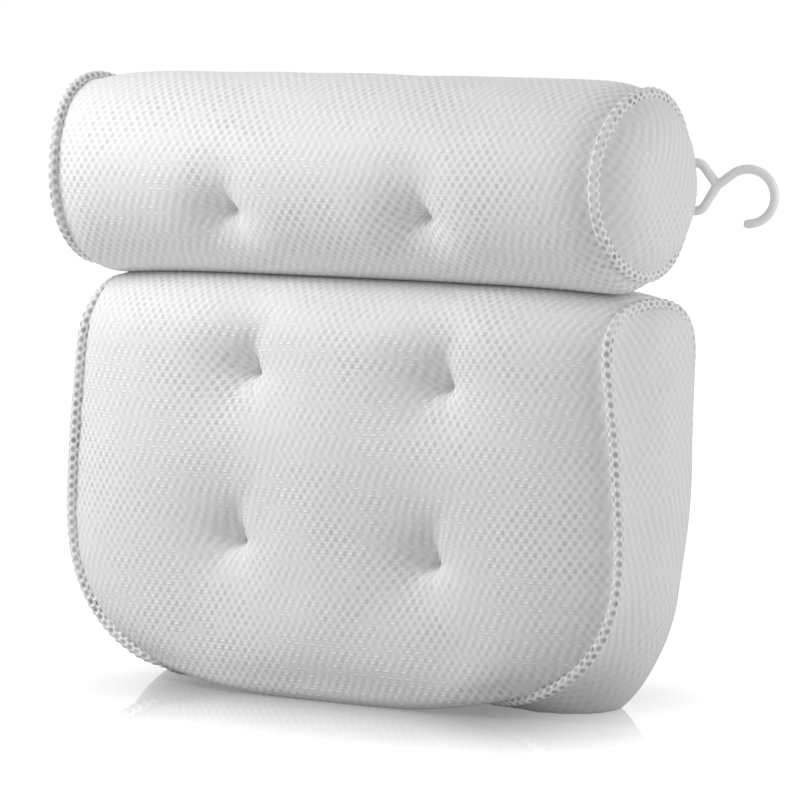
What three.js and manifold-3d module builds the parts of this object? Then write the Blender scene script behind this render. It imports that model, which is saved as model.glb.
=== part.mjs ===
// Bath pillow: a neck roll lying on a tufted back cushion, both covered in open air mesh.
// Millimetres, +Z up. The front faces -Y and the width runs along X. The cushion stands on its
// underside, and the origin is a point of that flat underside, in the middle of the width.
import * as THREE from 'three';
import { mergeVertices } from 'three/addons/utils/BufferGeometryUtils.js';
import Module from 'manifold-3d';

const wasm = await Module();
wasm.setup();

// Fabric, binding and fit
const meshThickness = 2.2;
const bindingRadius = 2.8;
const seat = 0.3;
const overrun = 4;
const fillingClearance = 1.2;
const fillingEdgeGap = 8.2;
const edgeGap = bindingRadius + seat;
const flatCut = 0.5;

// Back cushion: its seams, which lie on both side panels' edges, and the crown between them
const cushionHeight = 216.4;
const topCrown = 8.9;
const cushionSeamTop = cushionHeight - topCrown;
const shoulderDrop = 32.5;
const cushionShoulder = cushionSeamTop - shoulderDrop;
const cushionHalfWidth = 169;
const topTaper = 11.5;
const backTaper = 6.5;
const backTopTaper = 3;
const taperPowerShare = 1.5;
const cushionCornerHeight = 90;
const cushionCornerReach = 93;
const cornerPowerShare = 2.4;
const backCornerHeight = 129;
const backCornerReach = 81;
const backCornerPowerShare = 2;
const cushionFrontDepth = 29;
const cushionBackDepth = 46.5;
const cushionFrontCrown = 13;
const cushionBackCrown = 3.5;
const cushionFootRadius = 12;
const seamFootRadius = 15;
const cushionSeamLift = 3.2;
const cushionSideBulge = 10.9;
const cushionFootBulge = 22.8;
const footBulgeHeight = 100;
const sideBulgeFadeHeight = 8;
const crownPowerShare = 5;
const sideBulgePowerShare = 2.9;
const sideBulgeLagShare = 1.96;
const crownFullnessShare = 0.82;
const seamFullnessShare = 0.88;
const backSeamFullnessShare = 0.74;

// Neck roll
const rollRadius = 51.5;
const rollSeamRadius = 47;
const rollHalfLength = 165.8;
const rollEndBulge = 15.5;
const rollCrownPowerShare = 8;
const rollEndPowerShare = 4;
const rollHeight = cushionHeight + seat + rollRadius;

// Tufts, where a thread pulls the cover into the filling
const cushionTuftHalfSpacing = 62;
const upperTuftDrop = 7.5;
const upperTuftHeight = cushionShoulder - upperTuftDrop;
const lowerTuftHeight = 75;
const cushionTuftDepth = 17;
const cushionTuftRadius = 48;
const rollTuftHalfSpacing = 59.4;
const rollTuftDrop = 17.2;
const rollTuftDepth = 13;
const rollTuftRadius = 40;
const threadRadius = 1;
const threadHoleRadius = 1.6;
const rollTieSlack = 0.2;

// Joining strip behind the roll, which is also the fold
const stripDepth = 26;
const stripHalfLength = 112;
const stripThickness = 1.6;

// Suction cups and the tabs that hold them
const cupRadius = 20;
const cupDepth = 10.5;
const cupWall = 1.5;
const cupHeadRadius = 5.5;
const cupHeadThickness = 2.2;
const cupNeckRadius = 3;
const cupHeadShare = 0.7;
const cupCurvePowerShare = 1.5;
const tabThickness = 1.3;
const tabHalfLength = 17;
const tabFootLength = 6;
const tabRampLength = 4;
const tabHalfHeight = 9;
const tabHoleClearance = 0.4;
const cupSpacingShare = 0.663;
const cushionCupHalfSpacing = cupSpacingShare * cushionHalfWidth;
const upperCupHeight = 140;
const lowerCupHeight = 55;
const rollCupHalfSpacing = 72;

// Hook and its webbing loop
const hookWireRadius = 2.35;
const hookBarHalfLength = 12.2;
const hookArmLength = 9.4;
const hookCornerRadius = 3.4;
const hookJunctionReach = 17.5;
const hookJunctionRise = 0.8;
const hookBendReach = 33.5;
const hookBendDrop = 4.4;
const hookBendRadius = 13.8;
const hookTipRadius = 2.45;
const hookBarInset = 10.8;
const hookBarX = rollHalfLength - hookBarInset;
const hookRestAngle = 16;
const hookRise = -3.8;
const hookFrameStepCount = 34;
const hookBendStepCount = 30;
const webbingThickness = 1.4;
const webbingHalfHeight = 9.5;
const webbingRunLength = 26;
const webbingBore = hookWireRadius + seat;
const webbingEyeRadius = webbingBore + webbingThickness;

// Places along each piece, as shares from 0 to 1
const innerColumnShares = [0, 0.35, 0.7, 1];
const outerColumnShares = [0.2, 0.42, 0.64, 0.84, 1];
const acrossShares = [0, 0.06, 0.18, 0.34, 0.5, 0.66, 0.82, 0.94, 1];
const lowerRowShares = [0.05, 0.16, 0.33, 0.55, 0.78, 1];
const middleRowShares = [0.17, 0.33, 0.5, 0.67, 0.83, 1];
const archAngleShares = [0.95, 0.85, 0.72, 0.61, 0.5, 0.39, 0.28, 0.15, 0.05];
const backRowShares = [0.95, 0.76, 0.57, 0.38, 0.23, 0.13, 0.07, 0.022];
const undersideShares = [1, 0.66, 0.33, 0];
const sideRowShares = [0.95, 0.81, 0.67, 0.53, 0.4, 0.29, 0.19, 0.11, 0.05, 0.015];
const sideArchShares = [0.475, 0.38, 0.26, 0.13, 0.04];
const endRingShares = [0.86, 0.66, 0.38];
const stripShares = [-1, -0.8, -0.6, -0.4, -0.2, 0, 0.2, 0.4, 0.6, 0.8, 1];
const domeShares = [0.89, 0.75, 0.55, 0.3];
const coneShares = [0.35, 0.72, 1];
const tuftColumnShare = 0.85;
const slantShare = 0.9;
const footEdgeShare = 1.8;
const rollRowCount = 26;
const edgeSearchCount = 20;
const bindingStepCount = 68;
const bindingSideCount = 6;
const wireSideCount = 8;
const roundSideCount = 14;

const cream = new THREE.Color(0xf2f2f2);
const clear = new THREE.Color(0xdfe6ea);

function finish(color, roughness) {
  return new THREE.MeshStandardMaterial({ color, roughness, metalness: 0 });
}

// Turns a closed geometry's faces outward when its signed volume comes out negative.
function facingOut(geometry) {
  const place = geometry.getAttribute('position');
  const index = geometry.getIndex();
  const corners = [new THREE.Vector3(), new THREE.Vector3(), new THREE.Vector3()];
  let volume = 0;
  for (let i = 0; i < index.count; i += 3) {
    corners.forEach((corner, k) => corner.fromBufferAttribute(place, index.getX(i + k)));
    volume += corners[0].dot(corners[1].clone().cross(corners[2]));
  }
  if (volume < 0) {
    for (let i = 0; i < index.count; i += 3) {
      const second = index.getX(i + 1);
      index.setX(i + 1, index.getX(i + 2));
      index.setX(i + 2, second);
    }
  }
  return geometry;
}

function geometryFrom(points, faces) {
  const geometry = new THREE.BufferGeometry();
  const flat = points.flatMap((point) => [point.x, point.y, point.z]);
  geometry.setAttribute('position', new THREE.Float32BufferAttribute(flat, 3));
  geometry.setIndex(faces.flat());
  return facingOut(geometry);
}

function merged(geometry) {
  const bare = geometry.clone();
  bare.deleteAttribute('normal');
  bare.deleteAttribute('uv');
  return facingOut(mergeVertices(bare));
}

function toSolid(geometry) {
  const closed = merged(geometry);
  const vertProperties = new Float32Array(closed.getAttribute('position').array);
  const triVerts = new Uint32Array(closed.getIndex().array);
  return new wasm.Manifold(new wasm.Mesh({ numProp: 3, vertProperties, triVerts }));
}

function fromSolid(solid) {
  const mesh = solid.getMesh();
  const geometry = new THREE.BufferGeometry();
  geometry.setAttribute('position', new THREE.Float32BufferAttribute(mesh.vertProperties, 3));
  geometry.setIndex(new THREE.Uint32BufferAttribute(mesh.triVerts, 1));
  return geometry;
}

// Two triangles for each cell of a grid; rows close on themselves, columns don't.
function gridFaces(rows, columns, first = 0) {
  const faces = [];
  for (let i = 0; i < rows; i += 1) {
    for (let j = 0; j < columns - 1; j += 1) {
      const a = first + i * columns + j;
      const b = first + ((i + 1) % rows) * columns + j;
      faces.push([a, a + 1, b + 1], [a, b + 1, b]);
    }
  }
  return faces;
}

// The outward normal at each point of a ring-shaped grid, from its neighbours' differences.
function gridNormals(grid) {
  const rows = grid.length;
  return grid.map((row, i) => row.map((_, j) => {
    const along = grid[(i + 1) % rows][j].clone().sub(grid[(i + rows - 1) % rows][j]);
    const ahead = row[Math.min(j + 1, row.length - 1)].clone();
    const across = ahead.sub(row[Math.max(j - 1, 0)]);
    return across.cross(along).normalize();
  }));
}

// The same grid, moved inward by a depth. Points stay off the floor by at least that depth.
function inwardGrid(grid, normals, depth) {
  return grid.map((row, i) => row.map((point, j) => {
    const moved = point.clone().addScaledVector(normals[i][j], -depth);
    moved.z = Math.max(moved.z, depth);
    return moved;
  }));
}

// A cover panel that goes all the way round: outer face, inner face and its two cut edges.
function ringShell(outer, inner) {
  const rows = outer.length;
  const columns = outer[0].length;
  const shift = rows * columns;
  const faces = gridFaces(rows, columns);
  gridFaces(rows, columns, shift).forEach(([a, b, c]) => faces.push([a, c, b]));
  for (let i = 0; i < rows; i += 1) {
    const here = i * columns;
    const next = ((i + 1) % rows) * columns;
    faces.push([here, next, shift + next], [here, shift + next, shift + here]);
    const last = columns - 1;
    faces.push([here + last, shift + next + last, next + last]);
    faces.push([here + last, shift + here + last, shift + next + last]);
  }
  return geometryFrom([...outer.flat(), ...inner.flat()], faces);
}

// A filled body: the girth grid closed at both ends by rings that shrink to a middle point.
function filledBody(grid, ringPoint, middlePoint) {
  const rows = grid.length;
  const columns = grid[0].length;
  const points = grid.flat();
  const faces = gridFaces(rows, columns);
  [0, columns - 1].forEach((edge, side) => {
    let ring = grid.map((_, i) => i * columns + edge);
    const flip = side === 0;
    const addFace = (a, b, c) => faces.push(flip ? [a, c, b] : [a, b, c]);
    endRingShares.forEach((share) => {
      const start = points.length;
      grid.forEach((row) => points.push(ringPoint(row[edge], share, flip ? -1 : 1)));
      const inner = grid.map((_, i) => start + i);
      ring.forEach((a, i) => {
        const b = ring[(i + 1) % rows];
        addFace(a, inner[i], inner[(i + 1) % rows]);
        addFace(a, inner[(i + 1) % rows], b);
      });
      ring = inner;
    });
    const middle = points.length;
    points.push(middlePoint(flip ? -1 : 1));
    ring.forEach((a, i) => addFace(a, middle, ring[(i + 1) % rows]));
  });
  return geometryFrom(points, faces);
}

// A sheet panel with four edges: outer face, inner face and the strip between them all round.
function sheetShell(outer, inner) {
  const rows = outer.length;
  const columns = outer[0].length;
  const shift = rows * columns;
  const faces = [];
  for (let i = 0; i < rows - 1; i += 1) {
    for (let j = 0; j < columns - 1; j += 1) {
      const a = i * columns + j;
      const b = a + columns;
      faces.push([a, a + 1, b + 1], [a, b + 1, b]);
      faces.push([shift + a, shift + b + 1, shift + a + 1], [shift + a, shift + b, shift + b + 1]);
    }
  }
  const edge = [];
  for (let j = 0; j < columns - 1; j += 1) edge.push(j);
  for (let i = 0; i < rows - 1; i += 1) edge.push(i * columns + columns - 1);
  for (let j = columns - 1; j > 0; j -= 1) edge.push((rows - 1) * columns + j);
  for (let i = rows - 1; i > 0; i -= 1) edge.push(i * columns);
  edge.forEach((a, k) => {
    const b = edge[(k + 1) % edge.length];
    faces.push([a, shift + a, shift + b], [a, shift + b, b]);
  });
  return geometryFrom([...outer.flat(), ...inner.flat()], faces);
}

// A round bead along a closed loop of points.
function loopBead(points, radius) {
  const curve = new THREE.CatmullRomCurve3(points, true);
  curve.arcLengthDivisions = bindingStepCount * bindingSideCount;
  const frames = curve.computeFrenetFrames(bindingStepCount, true);
  const grid = [];
  for (let i = 0; i < bindingStepCount; i += 1) {
    const centre = curve.getPointAt(i / bindingStepCount);
    for (let k = 0; k < bindingSideCount; k += 1) {
      const turn = (k / bindingSideCount) * Math.PI * 2;
      const spoke = frames.normals[i].clone().multiplyScalar(radius * Math.cos(turn));
      spoke.addScaledVector(frames.binormals[i], radius * Math.sin(turn));
      grid.push(spoke.add(centre));
    }
  }
  const faces = [];
  for (let i = 0; i < bindingStepCount; i += 1) {
    for (let k = 0; k < bindingSideCount; k += 1) {
      const next = (k + 1) % bindingSideCount;
      const a = i * bindingSideCount;
      const b = ((i + 1) % bindingStepCount) * bindingSideCount;
      faces.push([a + k, b + k, b + next], [a + k, b + next, a + next]);
    }
  }
  return geometryFrom(grid, faces);
}

// The cushion's outline at its front seam and at its back seam: a tapering side, then a large
// rounded bottom corner.
const frontOutline = {
  half: cushionHalfWidth,
  taper: topTaper,
  corner: cushionCornerHeight,
  reach: cushionCornerReach,
  power: cornerPowerShare,
};
const backOutline = {
  half: cushionHalfWidth - backTaper,
  taper: backTopTaper - backTaper,
  corner: backCornerHeight,
  reach: backCornerReach,
  power: backCornerPowerShare,
};

// Half the width of an outline at a height.
function outlineHalfWidth(outline, height) {
  const rise = (height - outline.corner) / (cushionSeamTop - outline.corner);
  if (rise >= 0) return outline.half - outline.taper * Math.min(rise, 1) ** taperPowerShare;
  const fall = (outline.corner - height) / (outline.corner - cushionSeamLift);
  const round = (1 - Math.min(fall, 1) ** outline.power) ** (1 / outline.power);
  return outline.half - outline.reach * (1 - round);
}

function halfWidthAt(height, depthShare) {
  return THREE.MathUtils.lerp(
    outlineHalfWidth(frontOutline, height), outlineHalfWidth(backOutline, height), depthShare);
}

// How far the foot's round edge, of a radius, steps in at a height.
function footInset(height, radius) {
  const below = Math.max(radius - height, 0);
  return radius - Math.sqrt(radius ** 2 - below ** 2);
}

// The cushion's rows round its girth, in order: up the front, over the top, down the back, under.
const girthRows = [
  ...lowerRowShares.map((share) => ({ part: 'front', height: share * lowerTuftHeight })),
  ...middleRowShares.map((share) => ({
    part: 'front', height: THREE.MathUtils.lerp(lowerTuftHeight, upperTuftHeight, share),
  })),
  ...archAngleShares.map((share) => ({ part: 'arch', angle: share * Math.PI })),
  ...backRowShares.map((share) => ({ part: 'back', height: share * cushionShoulder })),
  ...undersideShares.map((share) => ({ part: 'under', share })),
];

// One point of the cushion's side profile. Crown is 0 on the seams and 1 in mid width, and inset
// draws the whole profile in from the seam line.
function profilePoint(row, crown, inset = 0) {
  const front = cushionFrontDepth + cushionFrontCrown * crown - inset;
  const back = cushionBackDepth + cushionBackCrown * crown - inset;
  const top = THREE.MathUtils.lerp(cushionSeamTop, cushionHeight, crown) - inset;
  if (row.part === 'arch') {
    const middle = (back - front) / 2;
    const cosine = Math.cos(row.angle);
    const seamPower = cosine > 0 ? backSeamFullnessShare : seamFullnessShare;
    const power = THREE.MathUtils.lerp(seamPower, crownFullnessShare, crown);
    const y = middle + Math.sign(cosine) * ((front + back) / 2) * Math.abs(cosine) ** power;
    const z = cushionShoulder + (top - cushionShoulder) * Math.sin(row.angle) ** power;
    return { y, z };
  }
  const foot = THREE.MathUtils.lerp(seamFootRadius, cushionFootRadius, crown);
  if (row.part === 'under') {
    const lift = cushionSeamLift * (1 - crown) - flatCut * crown;
    const y = THREE.MathUtils.lerp(foot - front, back - foot, row.share);
    return { y, z: Math.max(lift, 0) };
  }
  const side = row.part === 'front' ? -front : back;
  const lift = cushionSeamLift * (1 - crown) * Math.max(1 - row.height / foot, 0);
  return { y: side - Math.sign(side) * footInset(row.height, foot), z: row.height + lift };
}

// How deep the tufts pull the front in at a place.
function tuftPull(distance, depth, radius) {
  return depth * Math.max(1 - distance / radius, 0) ** 2;
}

function cushionTuftPull(x, z) {
  let pull = 0;
  [upperTuftHeight, lowerTuftHeight].forEach((height) => {
    const distance = Math.hypot(Math.abs(x) - cushionTuftHalfSpacing, z - height);
    pull = Math.max(pull, tuftPull(distance, cushionTuftDepth, cushionTuftRadius));
  });
  return pull;
}

// The point of the cushion's cover on a girth row, at a share across from -1 to 1.
function coverPoint(row, across) {
  const crown = 1 - Math.abs(across) ** crownPowerShare;
  const place = profilePoint(row, crown);
  const seam = profilePoint(row, 0);
  const depthShare = (seam.y + cushionFrontDepth) / (cushionFrontDepth + cushionBackDepth);
  const x = halfWidthAt(seam.z, depthShare) * across;
  const pull = row.part === 'front' || row.angle > Math.PI / 2 ? cushionTuftPull(x, place.z) : 0;
  return new THREE.Vector3(x, place.y + pull, place.z);
}

// The share across at which a row stops, so that its edge keeps a distance from the seam's line.
// The seam turns sharply at the foot, where the edge keeps further off.
function edgeShare(i, seamDistance) {
  const rows = girthRows.length;
  const nearFoot = girthRows[i].part === 'under' || girthRows[i].height < seamFootRadius / 2;
  const distance = seamDistance * (nearFoot ? footEdgeShare : 1);
  const seam = coverPoint(girthRows[i], 1);
  const before = coverPoint(girthRows[(i + rows - 1) % rows], 1);
  const tangent = coverPoint(girthRows[(i + 1) % rows], 1).sub(before).normalize();
  let close = 1;
  let far = 1 / 2;
  for (let step = 0; step < edgeSearchCount; step += 1) {
    const middle = (close + far) / 2;
    const gap = coverPoint(girthRows[i], middle).sub(seam).cross(tangent).length();
    if (gap > distance) far = middle;
    else close = middle;
  }
  return far;
}

// Places across a panel from edge to edge, with one column on each side through the tufts.
function columnPlaces(tuftPlace, edgePlace) {
  const half = innerColumnShares.map((share) => share * tuftPlace);
  outerColumnShares.forEach((share) => {
    half.push(THREE.MathUtils.lerp(tuftPlace, edgePlace, share));
  });
  return [...half.slice(1).reverse().map((place) => -place), ...half];
}

function cushionGrid(distance) {
  return girthRows.map((row, i) => {
    const halfWidth = coverPoint(row, 1).x;
    const edge = edgeShare(i, distance) * halfWidth;
    const places = columnPlaces(Math.min(cushionTuftHalfSpacing, edge * tuftColumnShare), edge);
    return places.map((place) => coverPoint(row, place / halfWidth));
  });
}

// Bulge of the side panel at a height and a share of the way from front seam to back seam. It is
// fuller towards the foot, and fullest behind the middle.
function sideBulge(height, share, rowLengthShare) {
  const rise = THREE.MathUtils.smoothstep(height, 0, sideBulgeFadeHeight);
  const low = THREE.MathUtils.smoothstep(footBulgeHeight - height, 0, footBulgeHeight);
  const round = 1 - Math.abs(2 * share ** sideBulgeLagShare - 1) ** sideBulgePowerShare;
  const most = THREE.MathUtils.lerp(cushionSideBulge, cushionFootBulge, low);
  return most * rise * round * rowLengthShare;
}

// One row of the side panel, from its front edge to its back edge, moved inward by a depth.
function sideRow(front, back, lengthShare, depth) {
  return acrossShares.map((share) => {
    const height = THREE.MathUtils.lerp(front.z, back.z, share);
    const y = THREE.MathUtils.lerp(front.y, back.y, share);
    const depthShare = (y + cushionFrontDepth) / (cushionFrontDepth + cushionBackDepth);
    const rise = halfWidthAt(height + seat, depthShare) - halfWidthAt(height - seat, depthShare);
    const normal = new THREE.Vector3(2 * seat, 0, -rise).normalize();
    const point = new THREE.Vector3(halfWidthAt(height, depthShare), y, height);
    point.addScaledVector(normal, sideBulge(height, share, lengthShare) - depth);
    point.z = Math.max(point.z, depth);
    return point;
  });
}

// The side panel's rows, from the arch's top down the side and under the big corner. Its edge
// keeps a distance from the seam.
function sidePanelGrid(distance, depth) {
  const full = cushionFrontDepth + cushionBackDepth;
  const grid = sideArchShares.map((share) => {
    const front = profilePoint({ part: 'arch', angle: Math.PI * (1 - share) }, 0, distance);
    const back = profilePoint({ part: 'arch', angle: Math.PI * share }, 0, distance);
    return sideRow(front, back, (back.y - front.y) / full, depth);
  });
  sideRowShares.forEach((share) => {
    const height = share * cushionShoulder;
    const inset = distance * (1 + slantShare * Math.max(1 - height / seamFootRadius, 0));
    const front = profilePoint({ part: 'front', height }, 0, inset);
    const back = profilePoint({ part: 'back', height }, 0, inset);
    grid.push(sideRow(front, back, (back.y - front.y) / full, depth));
  });
  const footFront = seamFootRadius - cushionFrontDepth + distance;
  const footBack = cushionBackDepth - seamFootRadius - distance;
  grid.push(acrossShares.map((share) => {
    const y = THREE.MathUtils.lerp(footFront, footBack, share);
    const x = halfWidthAt(cushionSeamLift, (y + cushionFrontDepth) / full);
    return new THREE.Vector3(x + footEdgeShare * distance, y, cushionSeamLift + depth);
  }));
  return grid;
}

function mirrored(geometry) {
  return facingOut(geometry.clone().scale(-1, 1, 1));
}

// The cushion's filling: the cover's shape, drawn in from the cover and from the side panels.
function cushionFilling() {
  const grid = cushionGrid(fillingEdgeGap);
  const inner = inwardGrid(grid, gridNormals(grid), meshThickness + fillingClearance);
  const middleY = (cushionBackDepth - cushionFrontDepth) / 2;
  const middle = new THREE.Vector3(0, middleY, cushionHeight / 2);
  const endX = (height, share) => halfWidthAt(height, 1 / 2) - fillingEdgeGap
    + sideBulge(height, 1 / 2, 1) * (1 - share ** sideBulgePowerShare);
  const ringPoint = (point, share, side) => {
    const y = THREE.MathUtils.lerp(middle.y, point.y, share);
    const z = THREE.MathUtils.lerp(middle.z, point.z, share);
    return new THREE.Vector3(side * endX(z, share), y, z);
  };
  const middlePoint = (side) => new THREE.Vector3(side * endX(middle.z, 0), middle.y, middle.z);
  return filledBody(inner, ringPoint, middlePoint);
}

// A straight thread between two points.
function threadBetween(start, end, radius) {
  const length = start.distanceTo(end);
  const geometry = new THREE.CylinderGeometry(radius, radius, length, bindingSideCount);
  const along = end.clone().sub(start).normalize();
  const turn = new THREE.Quaternion().setFromUnitVectors(THREE.Object3D.DEFAULT_UP, along);
  geometry.applyQuaternion(turn);
  const middle = start.clone().add(end).multiplyScalar(1 / 2);
  return geometry.translate(middle.x, middle.y, middle.z);
}

function cushionTie(side, height) {
  const across = cushionTuftHalfSpacing / halfWidthAt(height, 0);
  const row = (part) => coverPoint({ part, height }, across);
  const x = side * cushionTuftHalfSpacing;
  const start = new THREE.Vector3(x, row('front').y + meshThickness + seat, height);
  const end = new THREE.Vector3(x, row('back').y - meshThickness - seat, height);
  return { start, end };
}

// The roll's cover: a drum whose radius swells between its seams, with two tufts low in front.
const rollTuftAngle = -Math.asin(rollTuftDrop / (rollRadius - rollTuftDepth));

function rollPoint(angle, x) {
  const across = Math.abs(x) / rollHalfLength;
  const full = THREE.MathUtils.lerp(rollRadius, rollSeamRadius, across ** rollCrownPowerShare);
  const turn = Math.atan2(Math.sin(angle - rollTuftAngle), Math.cos(angle - rollTuftAngle));
  const distance = Math.hypot(Math.abs(x) - rollTuftHalfSpacing, full * turn);
  const radius = full - tuftPull(distance, rollTuftDepth, rollTuftRadius);
  return new THREE.Vector3(x, -radius * Math.cos(angle), rollHeight + radius * Math.sin(angle));
}

function rollGrid(distance) {
  const places = columnPlaces(rollTuftHalfSpacing, rollHalfLength - distance);
  const angles = Array.from({ length: rollRowCount }, (_, i) => (
    rollTuftAngle + (i / rollRowCount) * 2 * Math.PI));
  return angles.map((angle) => places.map((place) => rollPoint(angle, place)));
}

function rollFilling() {
  const grid = rollGrid(fillingEdgeGap);
  const inner = grid.map((row) => row.map((point) => {
    const spoke = new THREE.Vector3(0, point.y, point.z - rollHeight);
    const depth = meshThickness + fillingClearance;
    return point.clone().addScaledVector(spoke.normalize(), -depth);
  }));
  const endX = (share) => rollHalfLength - fillingEdgeGap
    + rollEndBulge * (1 - share ** rollEndPowerShare);
  const ringPoint = (point, share, side) => new THREE.Vector3(
    side * endX(share), point.y * share, rollHeight + (point.z - rollHeight) * share);
  const middlePoint = (side) => new THREE.Vector3(side * endX(0), 0, rollHeight);
  return filledBody(inner, ringPoint, middlePoint);
}

// The roll's end panel: a domed disc whose edge meets the seam at the same gap as the cover's.
function rollEndPanel() {
  const along = (radius) => rollEndBulge * (1 - (radius / rollSeamRadius) ** rollEndPowerShare);
  const lean = (radius) => (rollEndPowerShare * rollEndBulge * radius ** (rollEndPowerShare - 1))
    / rollSeamRadius ** rollEndPowerShare;
  const edge = rollSeamRadius - edgeGap / Math.hypot(1, lean(rollSeamRadius));
  const radii = [edge, ...domeShares.map((share) => share * edge)];
  const outer = radii.map((radius) => new THREE.Vector2(radius, along(radius)));
  const inner = radii.map((radius) => {
    const shift = meshThickness / Math.hypot(1, lean(radius));
    return new THREE.Vector2(radius - lean(radius) * shift, along(radius) - shift);
  });
  const top = new THREE.Vector2(0, along(0));
  const under = new THREE.Vector2(0, along(0) - meshThickness);
  const profile = [under, ...inner.reverse(), ...outer, top];
  const geometry = new THREE.LatheGeometry(profile, rollRowCount);
  return merged(geometry.rotateZ(-Math.PI / 2).translate(rollHalfLength, 0, rollHeight));
}

// A suction cup, turned about Y: a button head, a neck, then a thin cone that opens to its rim.
const cupHeadBase = seat;
const cupNeckBase = cupHeadBase + cupHeadThickness;
const cupConeBase = cupNeckBase + tabThickness + 2 * seat;
const cupRim = cupConeBase + cupDepth;

function suctionCup(x, y, z) {
  const flare = cupRadius - cupNeckRadius;
  const cone = (share, base, rise) => new THREE.Vector2(
    cupNeckRadius + flare * share, base + rise * (share ** cupCurvePowerShare));
  const outer = coneShares.map((share) => cone(share, cupConeBase, cupDepth));
  const inner = coneShares.slice(0, -1).reverse();
  const lip = new THREE.Vector2(cupRadius - cupWall, cupRim);
  const profile = [
    new THREE.Vector2(0, cupHeadBase),
    new THREE.Vector2(cupHeadRadius * cupHeadShare, cupHeadBase),
    new THREE.Vector2(cupHeadRadius, cupHeadBase + cupHeadThickness / 2),
    new THREE.Vector2(cupHeadRadius * cupHeadShare, cupNeckBase),
    new THREE.Vector2(cupNeckRadius, cupNeckBase),
    new THREE.Vector2(cupNeckRadius, cupConeBase),
    ...outer, lip, ...inner.map((share) => cone(share, cupConeBase + cupWall, cupDepth - cupWall)),
    new THREE.Vector2(0, cupConeBase + 2 * cupWall),
  ];
  return merged(new THREE.LatheGeometry(profile, roundSideCount).translate(x, y, z));
}

// A fabric tab that bridges the cup's head: two sewn feet, two ramps and a raised middle with
// a hole.
function cupTab(x, y, z) {
  const foot = tabHalfLength - tabFootLength;
  const crest = foot - tabRampLength;
  const low = seat;
  const high = cupNeckBase + seat;
  const rightHalf = [[crest, high], [foot, low], [tabHalfLength, low]];
  const leftHalf = rightHalf.map(([across, out]) => [-across, out]).reverse();
  const edge = [...leftHalf, ...rightHalf].map(([across, out]) => new THREE.Vector2(across, out));
  const over = edge.map((point) => point.clone().setY(point.y + tabThickness)).reverse();
  const shape = new THREE.Shape([...edge, ...over]);
  const strip = new THREE.ExtrudeGeometry(shape, { depth: 2 * tabHalfHeight, bevelEnabled: false });
  strip.translate(0, 0, -tabHalfHeight);
  const holeRadius = cupNeckRadius + tabHoleClearance;
  const holeLength = 2 * (high + overrun);
  const hole = new THREE.CylinderGeometry(holeRadius, holeRadius, holeLength, roundSideCount);
  return fromSolid(toSolid(strip).subtract(toSolid(hole))).translate(x, y, z);
}

// The hook's wire: a path in the hook's own plane, reach outward and rise upward, with round
// corners.
function wire(points, cornerRadius, sideCount, stepCount) {
  const path = new THREE.Path();
  path.moveTo(points[0].x, points[0].y);
  for (let i = 1; i < points.length - 1; i += 1) {
    const corner = points[i];
    const before = points[i - 1].clone().sub(corner).setLength(cornerRadius).add(corner);
    const after = points[i + 1].clone().sub(corner).setLength(cornerRadius).add(corner);
    path.lineTo(before.x, before.y);
    path.quadraticCurveTo(corner.x, corner.y, after.x, after.y);
  }
  const last = points[points.length - 1];
  path.lineTo(last.x, last.y);
  return wireAlong(path, sideCount, stepCount);
}

function wireAlong(path, sideCount, stepCount) {
  const places = path.getSpacedPoints(stepCount);
  const points = places.map((place) => new THREE.Vector3(place.x, 0, place.y));
  const curve = new THREE.CatmullRomCurve3(points);
  const section = new THREE.Shape();
  for (let k = 0; k < sideCount; k += 1) {
    const turn = (k / sideCount) * 2 * Math.PI;
    const x = hookWireRadius * Math.cos(turn);
    const y = hookWireRadius * Math.sin(turn);
    if (k) section.lineTo(x, y);
    else section.moveTo(x, y);
  }
  section.closePath();
  const options = { steps: stepCount, extrudePath: curve, bevelEnabled: false };
  return new THREE.ExtrudeGeometry(section, options);
}

function ball(radius, x, z) {
  return new THREE.SphereGeometry(radius, wireSideCount, wireSideCount).translate(x, 0, z);
}

// The hook: a base frame whose upright bar turns in the webbing, two legs that meet, and a bent
// end.
function hookGeometry() {
  const junction = new THREE.Vector2(hookJunctionReach, hookJunctionRise);
  const frame = wire([
    junction,
    new THREE.Vector2(hookArmLength, hookBarHalfLength),
    new THREE.Vector2(0, hookBarHalfLength),
    new THREE.Vector2(0, -hookBarHalfLength),
    new THREE.Vector2(hookArmLength, -hookBarHalfLength),
    junction,
  ], hookCornerRadius, wireSideCount, hookFrameStepCount);
  const centre = new THREE.Vector2(hookBendReach, -hookBendDrop);
  const toCentre = centre.clone().sub(junction);
  const tangentAngle = toCentre.angle() + Math.asin(hookBendRadius / toCentre.length());
  const startAngle = tangentAngle + Math.PI / 2;
  const end = new THREE.Path();
  end.moveTo(junction.x, junction.y);
  end.lineTo(
    centre.x + hookBendRadius * Math.cos(startAngle),
    centre.y + hookBendRadius * Math.sin(startAngle));
  end.absarc(centre.x, centre.y, hookBendRadius, startAngle, -Math.PI / 2, true);
  const bend = wireAlong(end, wireSideCount, hookBendStepCount);
  const joined = toSolid(frame)
    .add(toSolid(bend))
    .add(toSolid(ball(hookTipRadius, junction.x, junction.y)))
    .add(toSolid(ball(hookTipRadius, centre.x, centre.y - hookBendRadius)));
  return fromSolid(joined);
}

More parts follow.
